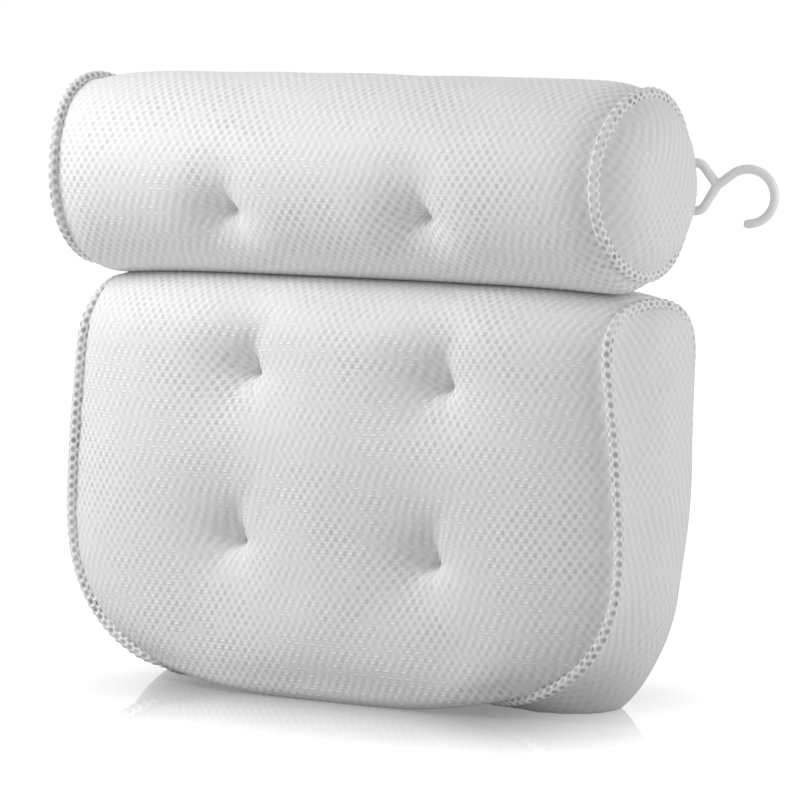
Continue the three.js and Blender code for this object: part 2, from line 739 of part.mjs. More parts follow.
// The webbing that carries the hook: a doubled run sewn to the roll's back and an eye round the
// bar. The run leaves the eye at its underside, so both lie on the roll.
function webbingLoop(barY) {
  const top = 2 * webbingThickness - webbingEyeRadius;
  const meet = Math.sqrt(webbingEyeRadius ** 2 - top ** 2);
  const shape = new THREE.Shape();
  shape.moveTo(-webbingRunLength, top);
  shape.lineTo(-meet, top);
  shape.absarc(0, 0, webbingEyeRadius, Math.atan2(top, -meet), -Math.PI / 2, true);
  shape.lineTo(-webbingRunLength, -webbingEyeRadius);
  shape.closePath();
  const bore = new THREE.Path();
  bore.absarc(0, 0, webbingBore, 0, 2 * Math.PI, false);
  shape.holes.push(bore);
  const geometry = new THREE.ExtrudeGeometry(shape, {
    depth: 2 * webbingHalfHeight,
    bevelEnabled: false,
    curveSegments: roundSideCount,
  });
  return merged(geometry.translate(hookBarX, barY, rollHeight + hookRise - webbingHalfHeight));
}

const group = new THREE.Group();

function addMesh(name, geometry, material) {
  const mesh = new THREE.Mesh(geometry, material);
  mesh.name = name;
  group.add(mesh);
  return mesh;
}

const sides = [['left', -1], ['right', 1]];
const meshFabric = finish(cream, 0.9);
const weave = finish(cream, 0.8);
const fibre = finish(cream, 1);
const vinyl = finish(clear, 0.15);
const plastic = finish(cream, 0.35);

function addCushion() {
  const outer = cushionGrid(edgeGap);
  const inner = inwardGrid(outer, gridNormals(outer), meshThickness);
  addMesh('cushion_wrap', ringShell(outer, inner), meshFabric.clone());
  const panel = sheetShell(sidePanelGrid(edgeGap, 0), sidePanelGrid(edgeGap, meshThickness));
  const binding = loopBead(girthRows.map((row) => coverPoint(row, 1)), bindingRadius);
  sides.forEach(([name, side]) => {
    addMesh(`cushion_side_${name}`, side > 0 ? panel : mirrored(panel), meshFabric.clone());
    addMesh(`cushion_binding_${name}`, side > 0 ? binding : mirrored(binding), meshFabric.clone());
  });
  let filling = toSolid(cushionFilling());
  [['upper', upperTuftHeight], ['lower', lowerTuftHeight]].forEach(([level, height]) => {
    sides.forEach(([name, side]) => {
      const { start, end } = cushionTie(side, height);
      const thread = merged(threadBetween(start, end, threadRadius));
      addMesh(`cushion_tuft_tie_${level}_${name}`, thread, weave.clone());
      const lengthen = new THREE.Vector3(0, overrun, 0);
      const hole = threadBetween(start.sub(lengthen), end.add(lengthen), threadHoleRadius);
      filling = filling.subtract(toSolid(hole));
    });
  });
  addMesh('cushion_filling', fromSolid(filling), fibre.clone());
}

function addRoll() {
  const outer = rollGrid(edgeGap);
  addMesh('roll_wrap', ringShell(outer, outer.map((row) => row.map((point) => {
    const spoke = new THREE.Vector3(0, point.y, point.z - rollHeight).normalize();
    return point.clone().addScaledVector(spoke, -meshThickness);
  }))), meshFabric.clone());
  const panel = rollEndPanel();
  const ring = new THREE.TorusGeometry(
    rollSeamRadius, bindingRadius, bindingSideCount, 2 * rollRowCount);
  const binding = merged(ring.rotateY(Math.PI / 2).translate(rollHalfLength, 0, rollHeight));
  let filling = toSolid(rollFilling());
  const away = new THREE.Vector3(0, -Math.cos(rollTuftAngle), Math.sin(rollTuftAngle));
  sides.forEach(([name, side]) => {
    addMesh(`roll_end_${name}`, side > 0 ? panel : mirrored(panel), meshFabric.clone());
    addMesh(`roll_binding_${name}`, side > 0 ? binding : mirrored(binding), meshFabric.clone());
    const axis = new THREE.Vector3(side * rollTuftHalfSpacing, 0, rollHeight);
    const inside = meshThickness + seat;
    const pit = rollRadius - rollTuftDepth - inside - rollTieSlack;
    const start = axis.clone().addScaledVector(away, pit);
    const end = axis.clone().addScaledVector(away, inside + rollTieSlack - rollRadius);
    const thread = merged(threadBetween(start, end, threadRadius));
    addMesh(`roll_tuft_tie_${name}`, thread, weave.clone());
    start.addScaledVector(away, overrun);
    end.addScaledVector(away, -overrun);
    filling = filling.subtract(toSolid(threadBetween(start, end, threadHoleRadius)));
  });
  addMesh('roll_filling', fromSolid(filling), fibre.clone());
}

// The cushion's top and the roll's underside where the joining strip stands, at a place across
// and a place in depth.
function stripEnds(x, y) {
  const arch = girthRows.filter((row) => row.part === 'arch');
  const points = arch.map((row) => coverPoint(row, x / coverPoint(row, 1).x));
  const i = points.findIndex((point) => point.y > y);
  const share = (y - points[i - 1].y) / (points[i].y - points[i - 1].y);
  const low = THREE.MathUtils.lerp(points[i - 1].z, points[i].z, share);
  const radius = Math.abs(rollPoint(Math.PI / 2, x).z - rollHeight);
  return { low: low + seat, high: rollHeight - Math.sqrt(radius ** 2 - y ** 2) - seat };
}

function addStrip() {
  const face = (y) => [0, 1 / 2, 1].map((share) => stripShares.map((place) => {
    const x = place * stripHalfLength;
    const { low, high } = stripEnds(x, y);
    return new THREE.Vector3(x, y, THREE.MathUtils.lerp(low, high, share));
  }));
  const strip = sheetShell(face(stripDepth), face(stripDepth - stripThickness));
  addMesh('joining_strip', strip, weave.clone());
}

function addCups() {
  const backY = cushionBackDepth + cushionBackCrown;
  [['upper', upperCupHeight], ['lower', lowerCupHeight]].forEach(([level, height]) => {
    sides.forEach(([name, side]) => {
      const x = side * cushionCupHalfSpacing;
      addMesh(`cushion_cup_${level}_${name}`, suctionCup(x, backY, height), vinyl.clone());
      addMesh(`cushion_cup_tab_${level}_${name}`, cupTab(x, backY, height), weave.clone());
    });
  });
  sides.forEach(([name, side]) => {
    const x = side * rollCupHalfSpacing;
    addMesh(`roll_cup_${name}`, suctionCup(x, rollRadius, rollHeight), vinyl.clone());
    addMesh(`roll_cup_tab_${name}`, cupTab(x, rollRadius, rollHeight), weave.clone());
  });
}

function addHook() {
  const runEnd = rollPoint(Math.PI, hookBarX - webbingRunLength);
  const barY = runEnd.y + seat + webbingEyeRadius;
  addMesh('hook_loop', webbingLoop(barY), weave.clone());
  const hook = addMesh('hook', hookGeometry(), plastic.clone());
  hook.position.set(hookBarX, barY, rollHeight + hookRise);
  hook.rotation.z = THREE.MathUtils.degToRad(hookRestAngle);
}

addCushion();
addRoll();
addStrip();
addCups();
addHook();

export default group;
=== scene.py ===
"""The looks of a bath pillow: a neck roll on a tufted back cushion, both in white air mesh.

Lengths are millimetres in the same frame as the part: the front faces -Y, the width runs along X
and +Z is up. The makers of meshes, lights and nodes turn them to metres. Angles are radians, but a
turn on the cushion counts the sides of its girth: 0-1 up the front, 1-2 over the top, 2-3 down
the back and 3-4 underneath.
"""

import bmesh
import bpy
import numpy as np
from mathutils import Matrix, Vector


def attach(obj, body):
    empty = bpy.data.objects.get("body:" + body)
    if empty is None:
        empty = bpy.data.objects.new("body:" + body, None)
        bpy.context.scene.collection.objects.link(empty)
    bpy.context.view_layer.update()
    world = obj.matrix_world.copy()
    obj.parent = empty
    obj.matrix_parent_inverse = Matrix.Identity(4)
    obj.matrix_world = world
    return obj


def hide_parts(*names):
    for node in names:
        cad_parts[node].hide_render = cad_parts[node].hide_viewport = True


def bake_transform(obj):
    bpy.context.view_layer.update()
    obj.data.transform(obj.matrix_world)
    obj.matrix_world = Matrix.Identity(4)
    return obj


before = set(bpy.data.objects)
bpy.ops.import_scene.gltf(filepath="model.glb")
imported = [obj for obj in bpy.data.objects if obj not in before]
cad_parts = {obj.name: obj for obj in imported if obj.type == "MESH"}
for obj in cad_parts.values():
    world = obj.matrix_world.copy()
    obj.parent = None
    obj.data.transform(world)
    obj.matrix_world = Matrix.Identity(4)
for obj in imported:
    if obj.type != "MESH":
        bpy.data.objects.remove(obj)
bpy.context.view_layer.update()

MM = 0.001
SEAT, TINY = 0.3, 1e-9
SIDES = {"left": -1.0, "right": 1.0}

# Back cushion. An outline is its half width, its taper, then its corner's height, reach and power.
HEIGHT, SEAM_TOP, SHOULDER = 216.4, 207.5, 175.0
FRONT_OUTLINE, BACK_OUTLINE = (169.0, 11.5, 90.0, 93.0, 2.4), (162.5, -3.5, 129.0, 81.0, 2.0)
FRONT_DEPTH, BACK_DEPTH, FRONT_CROWN, BACK_CROWN = 29.0, 46.5, 13.0, 3.5
CROWN_FOOT, SEAM_FOOT, SEAM_LIFT, FLAT_CUT = 6.0, 15.0, 7.0, 0.5
TAPER_POWER, CROWN_POWER, TOP_POWER = 1.5, 5.0, 0.3
CROWN_FULLNESS, SEAM_FULLNESS, BACK_SEAM_FULLNESS = 0.82, 0.88, 0.74

# Side panels. A panel bulges more towards the foot, and its hem lies under the cushion.
SIDE_BULGE, FOOT_BULGE, FOOT_BULGE_HEIGHT, SIDE_FADE = 10.9, 26.5, 100.0, 9.0
SIDE_POWER, SIDE_LAG, PANEL_INSET, SLOPE_STEP = 2.9, 1.96, 0.8, 0.3
PANEL_ROWS, PANEL_COLUMNS, ARCH_SHARE, LAST_TURN = 111, 34, 0.25, 2.99999
HEM_HALF, HEM_LENGTH, HEM_ROWS = FRONT_OUTLINE[0] - FRONT_OUTLINE[3] - 1.0, 20.0, 7

# Tufts: places across and up. Each pulls a bowl, a groove above it that bends right, and a slit.
# A crease has a height, a count round the tuft, a phase and a share of the creases' reach.
TUFTS = ((-60.0, 78.0), (59.5, 74.5), (-50.0, 166.0), (67.0, 164.5))
TUFT_DEPTH, TUFT_RADIUS, TUFT_GROOVE, TUFTED_TURN = 12.0, 48.0, 4.4, 1.45
ABOVE_STRETCH, BELOW_STRETCH, BOWL_POWER = 0.72, 1.1, 2.5
GROOVE_ABOVE, GROOVE_BELOW, GROOVE_HALF, GROOVE_BEND, GROOVE_POWER = 21.0, 5.0, 9.0, 0.014, 1.5
SLIT_DEPTH, SLIT_HALF, SLIT_ABOVE, SLIT_BELOW = 3.0, 5.4, 13.2, 5.077
CREASES = ((0.16, 14, 0.8, 1.0), (0.5, 5, 2.1, 1.7))
CREASE_REACH, CREASE_RISE, CREASE_START = 8.0, 9.0, 6.0
DRAWN, DRAWN_NEAR, DRAWN_FAR = 6.0, 3.0, 16.0

# Neck roll. Its seams are drawn in unevenly and lean, and its underside hangs lower in front.
ROLL_RADIUS, ROLL_SEAM_RADIUS, ROLL_HALF = 51.5, 47.0, 165.8
ROLL_END, ROLL_POWER, RIGHT_POWER, UNDER_POWER, ROLL_END_POWER = 15.5, 8.0, 16.0, 40.0, 4.0
ROLL_Z = HEIGHT + SEAT + ROLL_RADIUS
SAG_TILT, SAG_BOW, SEAM_DRAW, SEAM_UNEVEN = 0.4, 0.6, 0.5, 1.4
LEFT_LEAN_TOP, LEFT_LEAN_FOOT, RIGHT_LEAN, RIGHT_SHORT = 7.5, 2.5, 3.5, 2.5
ROLL_DROP, DROP_SHARE, DROP_START, DROP_FADE = 4.5, 0.4, 20.0, 25.0
TOP_HALF, PRESSED = 158.0, 0.2
ROLL_TUFT_X, ROLL_TUFT_DROP, ROLL_TUFT_DEPTH, ROLL_TUFT_RADIUS = 59.4, 17.2, 13.0, 40.0
ROLL_TUFT_GROOVE = 1.2
ROLL_TUFT_TURN = -np.arcsin(ROLL_TUFT_DROP / (ROLL_RADIUS - ROLL_TUFT_DEPTH))

# Fabric
WALL, BEAD, BEAD_WIDE, BEAD_OVAL, BEAD_DIP, BEAD_DIP_SHARE = 1.6, 2.8, 1.14, 0.13, 0.75, 0.34
HOLE_PITCH, HOLE_ROW, BEAD_PITCH = 5.1, 3.4, 4.9
BEAD_ROUND, BEAD_HOLES_ROUND, BEAD_SPOKES, HOLE_TALL = 2 * np.pi * BEAD, 3, 24, 1.75
VALLEY_DEPTH, VALLEY_REACH = 1.3, 4.2

# Unevenness of the fabric: a height, the lengths of its waves and a seed
COVER_PUCKER = 0.5, (9.0, 13.0, 17.0), 5
COVER_LUMPS = 0.6, (52.0, 71.0, 96.0), 11
PANEL_LUMPS = 0.5, (24.0, 37.0, 61.0), 3
ROLL_PUCKER = 0.4, (9.0, 12.0, 16.0), 8
ROLL_LUMPS = 0.5, (58.0, 83.0, 107.0), 21
END_LUMPS = 0.5, (23.0, 34.0, 55.0), 17
PUCKER_FADE, LUMP_FADE, PANEL_FADE = 8.0, 12.0, 8.0

# Grids: spacing near the tufts, elsewhere and in the simulation, and samples of a profile
FINE, COARSE, TRIAL = 1.25, 2.6, 6.0
TURN_SAMPLES, SEAM_SAMPLES, SAMPLES, PANEL_SAMPLES = 6000, 8000, 4001, 3001
TUFT_NEAR, TUFT_NEAR_ACROSS, FINE_TURN, ROLL_FINE_TURN = 24.0, 22.0, 1.2, 0.5
ROLL_COARSE_TURN, ROLL_COARSER = 1.9, 1.7
SEAM_POINTS, ROLL_SEAM_POINTS = 1200, 620

# Slack cloth under pressure: its settings, its steps, and where each piece is held and how much
# it may swell
CLOTH = {"quality": 6, "mass": 0.3, "tension_stiffness": 12.0, "compression_stiffness": 12.0,
         "bending_stiffness": 6.0, "shrink_min": -0.006, "use_pressure": True,
         "uniform_pressure_force": 4.0, "vertex_group_mass": "held", "pin_stiffness": 1.0}
CLOTH_STEPS = 20
TUFT_HELD, HELD_SHARE, SEAM_HELD_SHARE, ROLL_SEAM_HELD = 8.0, 0.05, 0.985, 3.0
COVER_SWELL, COVER_EVEN, ROLL_SWELL, ROLL_EVEN = 5.0, 3, 4.0, 8
PANEL_SWELL, PANEL_HELD, PANEL_HELD_HEIGHT = 4.0, 1.5, 12.0
PANEL_FREE, PANEL_FREE_HEIGHT, PANEL_FREE_RISE = 10.0, 10.0, 25.0

# Hook and its tape
WIRE, BAR_HALF, ARM, CORNER = 2.35, 12.2, 9.4, 3.4
JUNCTION, BEND_CENTRE, BEND = (17.5, 0.8), (33.5, -4.4), 13.8
BAR_X, HOOK_TURN, HOOK_RISE = ROLL_HALF - 10.8, np.radians(16.0), -3.8
ROD_STEP, ROD_SPOKES, CAP_RINGS, HOOK_VOXEL = 0.6, 24, 6, 0.42
TAPE, TAPE_HALF, TAPE_RUN, TAPE_WALL = 1.4, 9.5, 26.0, 1.15
TAPE_STEP, TAPE_COLUMNS, TAPE_MEET, TAPE_TURN = 0.5, 14, 7.0, np.radians(208.0)
EYE = WIRE + SEAT + TAPE
RUN_END_SHARE = (BAR_X - TAPE_RUN) / ROLL_HALF
BAR_Y = ROLL_RADIUS + (ROLL_SEAM_RADIUS - ROLL_RADIUS) * RUN_END_SHARE ** ROLL_POWER + SEAT + EYE

# Suction cups, their tabs and the joining strip
CUP_RADIUS, CUP_DEPTH, CUP_WALL, CUP_LIP, CUP_POWER = 20.0, 10.5, 1.5, 0.1, 1.5
CUP_HEAD, CUP_HEAD_ROUND, CUP_HEAD_THICK, CUP_NECK, TAB = 5.5, 1.6, 2.2, 3.0, 1.3
CUP_BASE = SEAT + CUP_HEAD_THICK + TAB + 2 * SEAT
CUP_X, CUP_HEIGHTS, ROLL_CUP_X = 112.0, {"upper": 140.0, "lower": 55.0}, 72.0
TAB_HALF, TAB_HALF_HEIGHT, TAB_HOLE, TAB_STEP, TAB_SLOPE = 17.0, 9.0, 3.4, 11.5, 5.0
STRIP_HALF, STRIP_DEPTH, STRIP_WALL, STRIP_BOW, STRIP_SEAT = 112.0, 25.2, 1.4, 1.2, 0.2
STRIP_CROWN_HALF = 163.0

# Camera, lights as (name, watts, size, place), and the floor round the cushion's footprint
MIDDLE, REACH, CAMERA_TURN, CAMERA_RISE = 160.0, 2573.0, np.radians(34.0), np.radians(5.43)
LENS, SENSOR, CLIP_END, AIM_RIGHT, AIM_DOWN = 225.0, 36.0, 50.0, 16.62, 7.67
LIGHTS = (("key", 5.4, 420.0, (-560.0, -520.0, 700.0)),
          ("fill", 6.4, 900.0, (1450.0, 350.0, 550.0)))
ROOM_SEEN, ROOM_CAST, FLOOR_HALF = 1.0, 0.4, 4000.0
FOOT_MIDDLE, FOOT_HALF_WIDTH, FOOT_HALF_DEPTH = 9.0, 85.0, 34.0
POLISH, POLISH_NEAR, POLISH_FAR = 0.5, 20.0, 420.0
# Floor glow, painted light: dim near the footprint as a painted shadow, with a weaker bounce that
# lights the pillow
GLOW_DIM, GLOW, GLOW_NEAR, GLOW_FAR, BOUNCE, BOUNCE_LESS = 0.2, 1.1, -20.0, 230.0, 0.45, -0.03


# Materials

def linear(code):
    """The linear colour of an sRGB hex code."""
    part = np.array([int(code[i:i + 2], 16) for i in (1, 3, 5)]) / 255
    low, high = part / 12.92, ((part + 0.055) / 1.055) ** 2.4
    return (*np.where(part <= 0.04045, low, high), 1.0)


def feed(tree, node, inputs):
    """Gives each input of a node its value, or a link from the output that drives it."""
    for key, value in inputs.items():
        if isinstance(value, bpy.types.NodeSocket):
            tree.links.new(value, node.inputs[key])
        else:
            node.inputs[key].default_value = value


def add(tree, kind, inputs=None, **settings):
    """Adds one node with its settings and what feeds its inputs."""
    node = tree.nodes.new(kind)
    for key, value in settings.items():
        setattr(node, key, value)
    feed(tree, node, inputs or {})
    return node


def blank(name):
    """A new material, its node tree and its Principled shader."""
    material = bpy.data.materials.new(name)
    material.use_nodes = True
    return material, material.node_tree, material.node_tree.nodes["Principled BSDF"]


def spots(tree, cell, offset, size, near, far):
    """Spots on a lattice of whole numbers: 1 within the near distance of a point and 0 beyond the
    far one, and a random value for each spot. Size stretches the distance along each way."""
    slid = add(tree, "ShaderNodeVectorMath", {0: cell, 1: (*offset, 0)}, operation="ADD")
    part = add(tree, "ShaderNodeVectorMath", {0: slid.outputs[0]}, operation="FRACTION")
    whole = add(tree, "ShaderNodeVectorMath", {0: slid.outputs[0]}, operation="FLOOR")
    centred = add(tree, "ShaderNodeVectorMath", {0: part.outputs[0], 1: (-0.5, -0.5, 0)},
                  operation="ADD")
    sized = add(tree, "ShaderNodeVectorMath", {0: centred.outputs[0], 1: (*size, 0)},
                operation="MULTIPLY")
    away = add(tree, "ShaderNodeVectorMath", {0: sized.outputs[0]}, operation="LENGTH")
    spot = add(tree, "ShaderNodeMapRange", {
        "Value": away.outputs["Value"], "From Min": near, "From Max": far, "To Min": 1.0,
        "To Max": 0.0}, interpolation_type="SMOOTHSTEP")
    chance = add(tree, "ShaderNodeTexWhiteNoise", {"Vector": whole.outputs[0]})
    return spot.outputs[0], chance.outputs["Value"]


def air_mesh(name, thread, hole, painted_glint, rib, pitch, row, open_share, depth, even_share):
    """Warp-knitted polyester air mesh: staggered pores in a milky white net, with small painted
    highlights where the threads cross, white dashes in the colour that stand in for glints. Pores,
    painted glints and the slanting ribs of the net each show more in some places than in others,
    as the light catches the face. Pitch, row and depth are mm."""
    material, tree, shader = blank(name)
    # In mm: how far the pores wander, and the sizes of that sway, of the patches and of the fibre,
    # which is drawn coarser than the real one so that it shows.
    uneven, sway_size, catch_size, fibre_size = 0.35, 23.81, 62.5, 1.111
    uv = add(tree, "ShaderNodeUVMap", uv_map="cloth").outputs["UV"]
    sway = add(tree, "ShaderNodeTexNoise", {"Scale": 1 / sway_size / MM, "Detail": 2.0,
                                            "Vector": uv})
    shift = add(tree, "ShaderNodeVectorMath", {0: sway.outputs["Color"], 1: (-0.5, -0.5, -0.5)},
                operation="ADD")
    moved = add(tree, "ShaderNodeVectorMath", {0: shift.outputs[0], 1: (2 * uneven * MM,) * 3,
                                               2: uv}, operation="MULTIPLY_ADD")
    cell = add(tree, "ShaderNodeVectorMath", {0: moved.outputs[0], 1: (
        1 / pitch / MM, 0.5 / row / MM, 0)}, operation="MULTIPLY").outputs[0]
    catch = add(tree, "ShaderNodeTexNoise", {"Scale": 1 / catch_size / MM, "Detail": 3.0,
                                             "Vector": uv})
    other = add(tree, "ShaderNodeSeparateXYZ", {0: catch.outputs["Color"]})
    shown = add(tree, "ShaderNodeMapRange", {
        "Value": catch.outputs["Fac"], "From Min": 0.4, "From Max": 0.6, "To Min": even_share,
        "To Max": 1.0}).outputs[0]
    # Patches where the painted glints show brighter
    bright = add(tree, "ShaderNodeMapRange", {
        "Value": other.outputs["Y"], "From Min": 0.4, "From Max": 0.6, "To Min": 0.35,
        "To Max": 1.0}).outputs[0]
    tall = HOLE_TALL * row / pitch
    pores, painted_glints = 0.0, 0.0
    for offset in ((0.0, 0.0), (0.5, 0.5)):
        pore, chance = spots(tree, cell, offset, (1.0, tall), open_share * 0.45, open_share * 1.5)
        weight = add(tree, "ShaderNodeMath", {0: chance, 1: 0.45, 2: 0.55},
                     operation="MULTIPLY_ADD")
        pores = add(tree, "ShaderNodeMath", {0: pore, 1: weight.outputs[0], 2: pores},
                    operation="MULTIPLY_ADD").outputs[0]
    # Painted highlights: white dashes between the pores, where the threads cross, standing in for
    # glints of light off the polyester
    for offset in ((0.5, 0.0), (0.0, 0.5)):
        glint_spot, chance = spots(tree, cell, offset, (0.5, 1.6 * tall), 0.03, 0.2)
        weight = add(tree, "ShaderNodeMath", {0: chance, 1: 1.2}, operation="POWER")
        painted_glints = add(tree, "ShaderNodeMath", {0: glint_spot, 1: weight.outputs[0], 2: painted_glints},
                     operation="MULTIPLY_ADD").outputs[0]
    pores = add(tree, "ShaderNodeMath", {0: pores, 1: shown}, operation="MULTIPLY").outputs[0]
    caught = add(tree, "ShaderNodeMath", {0: painted_glints, 1: bright}, operation="MULTIPLY")
    lit = add(tree, "ShaderNodeMath", {0: caught.outputs[0], 1: painted_glint * 1.35},
              operation="MULTIPLY").outputs[0]
    along = add(tree, "ShaderNodeVectorMath", {0: cell, 1: (2 * np.pi, -np.pi, 0)},
                operation="DOT_PRODUCT")
    wave = add(tree, "ShaderNodeMath", {0: along.outputs["Value"]}, operation="COSINE")
    ribs = add(tree, "ShaderNodeMath", {0: wave.outputs[0], 1: 0.5 * rib, 2: 0.5 * rib},
               operation="MULTIPLY_ADD")
    hidden = add(tree, "ShaderNodeMath", {0: shown, 1: -1.0, 2: 1.0}, operation="MULTIPLY_ADD")
    dark = add(tree, "ShaderNodeMath", {0: ribs.outputs[0], 1: hidden.outputs[0], 2: pores},
               operation="MULTIPLY_ADD").outputs[0]
    fibre = add(tree, "ShaderNodeTexNoise", {"Scale": 1 / fibre_size / MM, "Detail": 3.0,
                                             "Roughness": 0.6, "Vector": uv})
    net = add(tree, "ShaderNodeMix", {"A": linear(thread), "B": linear(hole), "Factor": dark},
              data_type="RGBA")
    # The painted glints are mixed into the base colour as white
    tone = add(tree, "ShaderNodeMix", {"A": net.outputs["Result"], "B": linear("#FFFFFF"),
                                       "Factor": lit}, data_type="RGBA")
    sunk = add(tree, "ShaderNodeMath", {0: dark, 1: -1.0, 2: lit}, operation="MULTIPLY_ADD")
    raised = add(tree, "ShaderNodeMath", {0: fibre.outputs["Fac"], 1: 0.3, 2: sunk.outputs[0]},
                 operation="MULTIPLY_ADD")
    bump = add(tree, "ShaderNodeBump", {"Strength": 0.6, "Distance": depth * MM,
                                        "Height": raised.outputs[0]})
    feed(tree, shader, {"Base Color": tone.outputs["Result"], "Normal": bump.outputs["Normal"],
                        "Roughness": 0.62, "IOR": 1.45, "Sheen Weight": 0.2,
                        "Sheen Roughness": 0.5})
    return material


def woven_tape(name, tone, shade, pitch):
    """Woven polypropylene tape: plain weave of ribbon yarns so many mm apart, matt with a fine
    checked relief."""
    material, tree, shader = blank(name)
    uv = add(tree, "ShaderNodeUVMap", uv_map="cloth").outputs["UV"]
    sized = add(tree, "ShaderNodeVectorMath", {0: uv, 1: (1 / pitch / MM, 1 / pitch / MM, 1)},
                operation="MULTIPLY")
    weave = add(tree, "ShaderNodeTexBrick", {
        "Vector": sized.outputs[0], "Color1": (1, 1, 1, 1), "Color2": (0.8, 0.8, 0.8, 1),
        "Mortar": (0, 0, 0, 1), "Scale": 1.0, "Mortar Size": 0.06, "Mortar Smooth": 0.6,
        "Brick Width": 1.0, "Row Height": 0.5}).outputs["Color"]
    colour = add(tree, "ShaderNodeMix", {"A": linear(shade), "B": linear(tone), "Factor": weave},
                 data_type="RGBA")
    bump = add(tree, "ShaderNodeBump", {"Strength": 0.8, "Distance": 0.35 * MM, "Height": weave})
    feed(tree, shader, {"Base Color": colour.outputs["Result"], "Roughness": 0.7,
                        "Sheen Weight": 0.15, "Normal": bump.outputs["Normal"]})
    return material


def moulded_plastic(name, tone, size):
    """Injection-moulded white plastic: a soft satin gloss with a trace of uneven skin, whose
    patches are so many mm."""
    material, tree, shader = blank(name)
    place = add(tree, "ShaderNodeTexCoord").outputs["Object"]
    skin = add(tree, "ShaderNodeTexNoise", {"Scale": 1 / size / MM, "Detail": 3.0,
                                            "Vector": place}).outputs["Fac"]
    gloss = add(tree, "ShaderNodeMapRange", {"Value": skin, "To Min": 0.28, "To Max": 0.42})
    colour = add(tree, "ShaderNodeMix", {"A": linear(tone), "B": linear("#FFFFFE"),
                                         "Factor": skin}, data_type="RGBA")
    bump = add(tree, "ShaderNodeBump", {"Strength": 0.15, "Distance": 0.1 * MM, "Height": skin})
    feed(tree, shader, {"Base Color": colour.outputs["Result"], "IOR": 1.49,
                        "Roughness": gloss.outputs["Result"], "Subsurface Weight": 0.15,
                        "Subsurface Radius": (4 * MM,) * 3, "Subsurface Scale": 0.5,
                        "Normal": bump.outputs["Normal"]})
    return material


def clear_vinyl(name, tone, size):
    """Soft clear vinyl, moulded: glassy, faintly blue, with flow marks of so many mm that blur
    what is behind."""
    material, tree, shader = blank(name)
    place = add(tree, "ShaderNodeTexCoord").outputs["Object"]
    flow = add(tree, "ShaderNodeTexNoise", {"Scale": 1 / size / MM, "Detail": 2.0,
                                            "Vector": place}).outputs["Fac"]
    gloss = add(tree, "ShaderNodeMapRange", {"Value": flow, "To Min": 0.06, "To Max": 0.2})
    bump = add(tree, "ShaderNodeBump", {"Strength": 0.2, "Distance": 0.15 * MM, "Height": flow})
    feed(tree, shader, {"Base Color": linear(tone), "Roughness": gloss.outputs["Result"],
                        "IOR": 1.52, "Transmission Weight": 0.85,
                        "Normal": bump.outputs["Normal"]})
    return material


def spun_fibre(name, tone, size, stretch):
    """Loose or twisted polyester fibre: white, matt and fuzzy, streaked along its length. Its
    streaks, so many mm, are coarser than the real fibre so that they show."""
    material, tree, shader = blank(name)
    place = add(tree, "ShaderNodeTexCoord").outputs["Object"]
    along = add(tree, "ShaderNodeMapping", {"Vector": place, "Scale": stretch})
    fuzz = add(tree, "ShaderNodeTexNoise", {
        "Vector": along.outputs[0], "Scale": 1 / size / MM, "Detail": 6.0,
        "Roughness": 0.7}).outputs["Fac"]
    colour = add(tree, "ShaderNodeMix", {"A": linear("#D8D8D6"), "B": linear(tone),
                                         "Factor": fuzz}, data_type="RGBA")
    bump = add(tree, "ShaderNodeBump", {"Strength": 0.6, "Distance": 1.0 * MM, "Height": fuzz})
    feed(tree, shader, {"Base Color": colour.outputs["Result"], "Roughness": 0.9,
                        "Sheen Weight": 0.4, "Normal": bump.outputs["Normal"]})
    return material


COVER_MESH = air_mesh("air_mesh_cover", "#ECECEC", "#CCCCCC", painted_glint=1.2, rib=0.5, pitch=HOLE_PITCH,
                      row=HOLE_ROW, open_share=0.25, depth=0.38, even_share=0.2)
PANEL_MESH = air_mesh("air_mesh_panel", "#EBEBEB", "#DBDBDB", painted_glint=0.3, rib=0.8, pitch=HOLE_PITCH,
                      row=HOLE_ROW, open_share=0.26, depth=0.3, even_share=0.0)
BEAD_MESH = air_mesh("folded_mesh_binding", "#F0F0F0", "#8E8E8E", painted_glint=1.0, rib=0.0,
                     pitch=BEAD_ROUND / BEAD_HOLES_ROUND, row=BEAD_PITCH / 2, open_share=0.21,
                     depth=0.4, even_share=0.45)
TAPE_WEAVE = woven_tape("woven_tape", "#F0F0EE", "#B8B8B4", 1.1)
HOOK_PLASTIC = moulded_plastic("moulded_hook_plastic", "#F4F4F3", 2.5)
CUP_VINYL = clear_vinyl("clear_moulded_vinyl", "#E4EEF2", 6.25)
FILLING_FIBRE = spun_fibre("loose_polyester_fibre", "#FAFAF8", 16.667, (1, 1, 1))
THREAD = spun_fibre("twisted_tuft_thread", "#F6F6F2", 1.111, (1, 0.2, 1))


# Meshes

def piece(name, points, faces, material, cloth=None, smooth=True):
    """A mesh object from points in mm and faces, with cloth coordinates in mm for each point."""
    data = bpy.data.meshes.new(name)
    data.from_pydata((np.asarray(points, float) * MM).tolist(), [], faces.tolist())
    if cloth is not None:
        corner = np.empty(len(data.loops), np.int32)
        data.loops.foreach_get("vertex_index", corner)
        layer = data.uv_layers.new(name="cloth")
        layer.data.foreach_set("uv", (np.asarray(cloth, float)[corner] * MM).ravel())
    data.polygons.foreach_set("use_smooth", np.full(len(data.polygons), smooth))
    data.materials.append(material)
    made = bpy.data.objects.new(name, data)
    bpy.context.scene.collection.objects.link(made)
    return made


def grid_faces(rows, columns, ring=False, loop=False, flip=False):
    """Quads between neighbouring points of a grid. Ring joins the last row to the first, loop the
    last column to the first, and flip turns the quads over."""
    i, j = np.meshgrid(np.arange(rows if ring else rows - 1),
                       np.arange(columns if loop else columns - 1), indexing="ij")
    down, side = (i + 1) % rows, (j + 1) % columns
    quads = np.stack([i * columns + j, i * columns + side, down * columns + side,
                      down * columns + j], -1).reshape(-1, 4)
    return quads[:, ::-1] if flip else quads


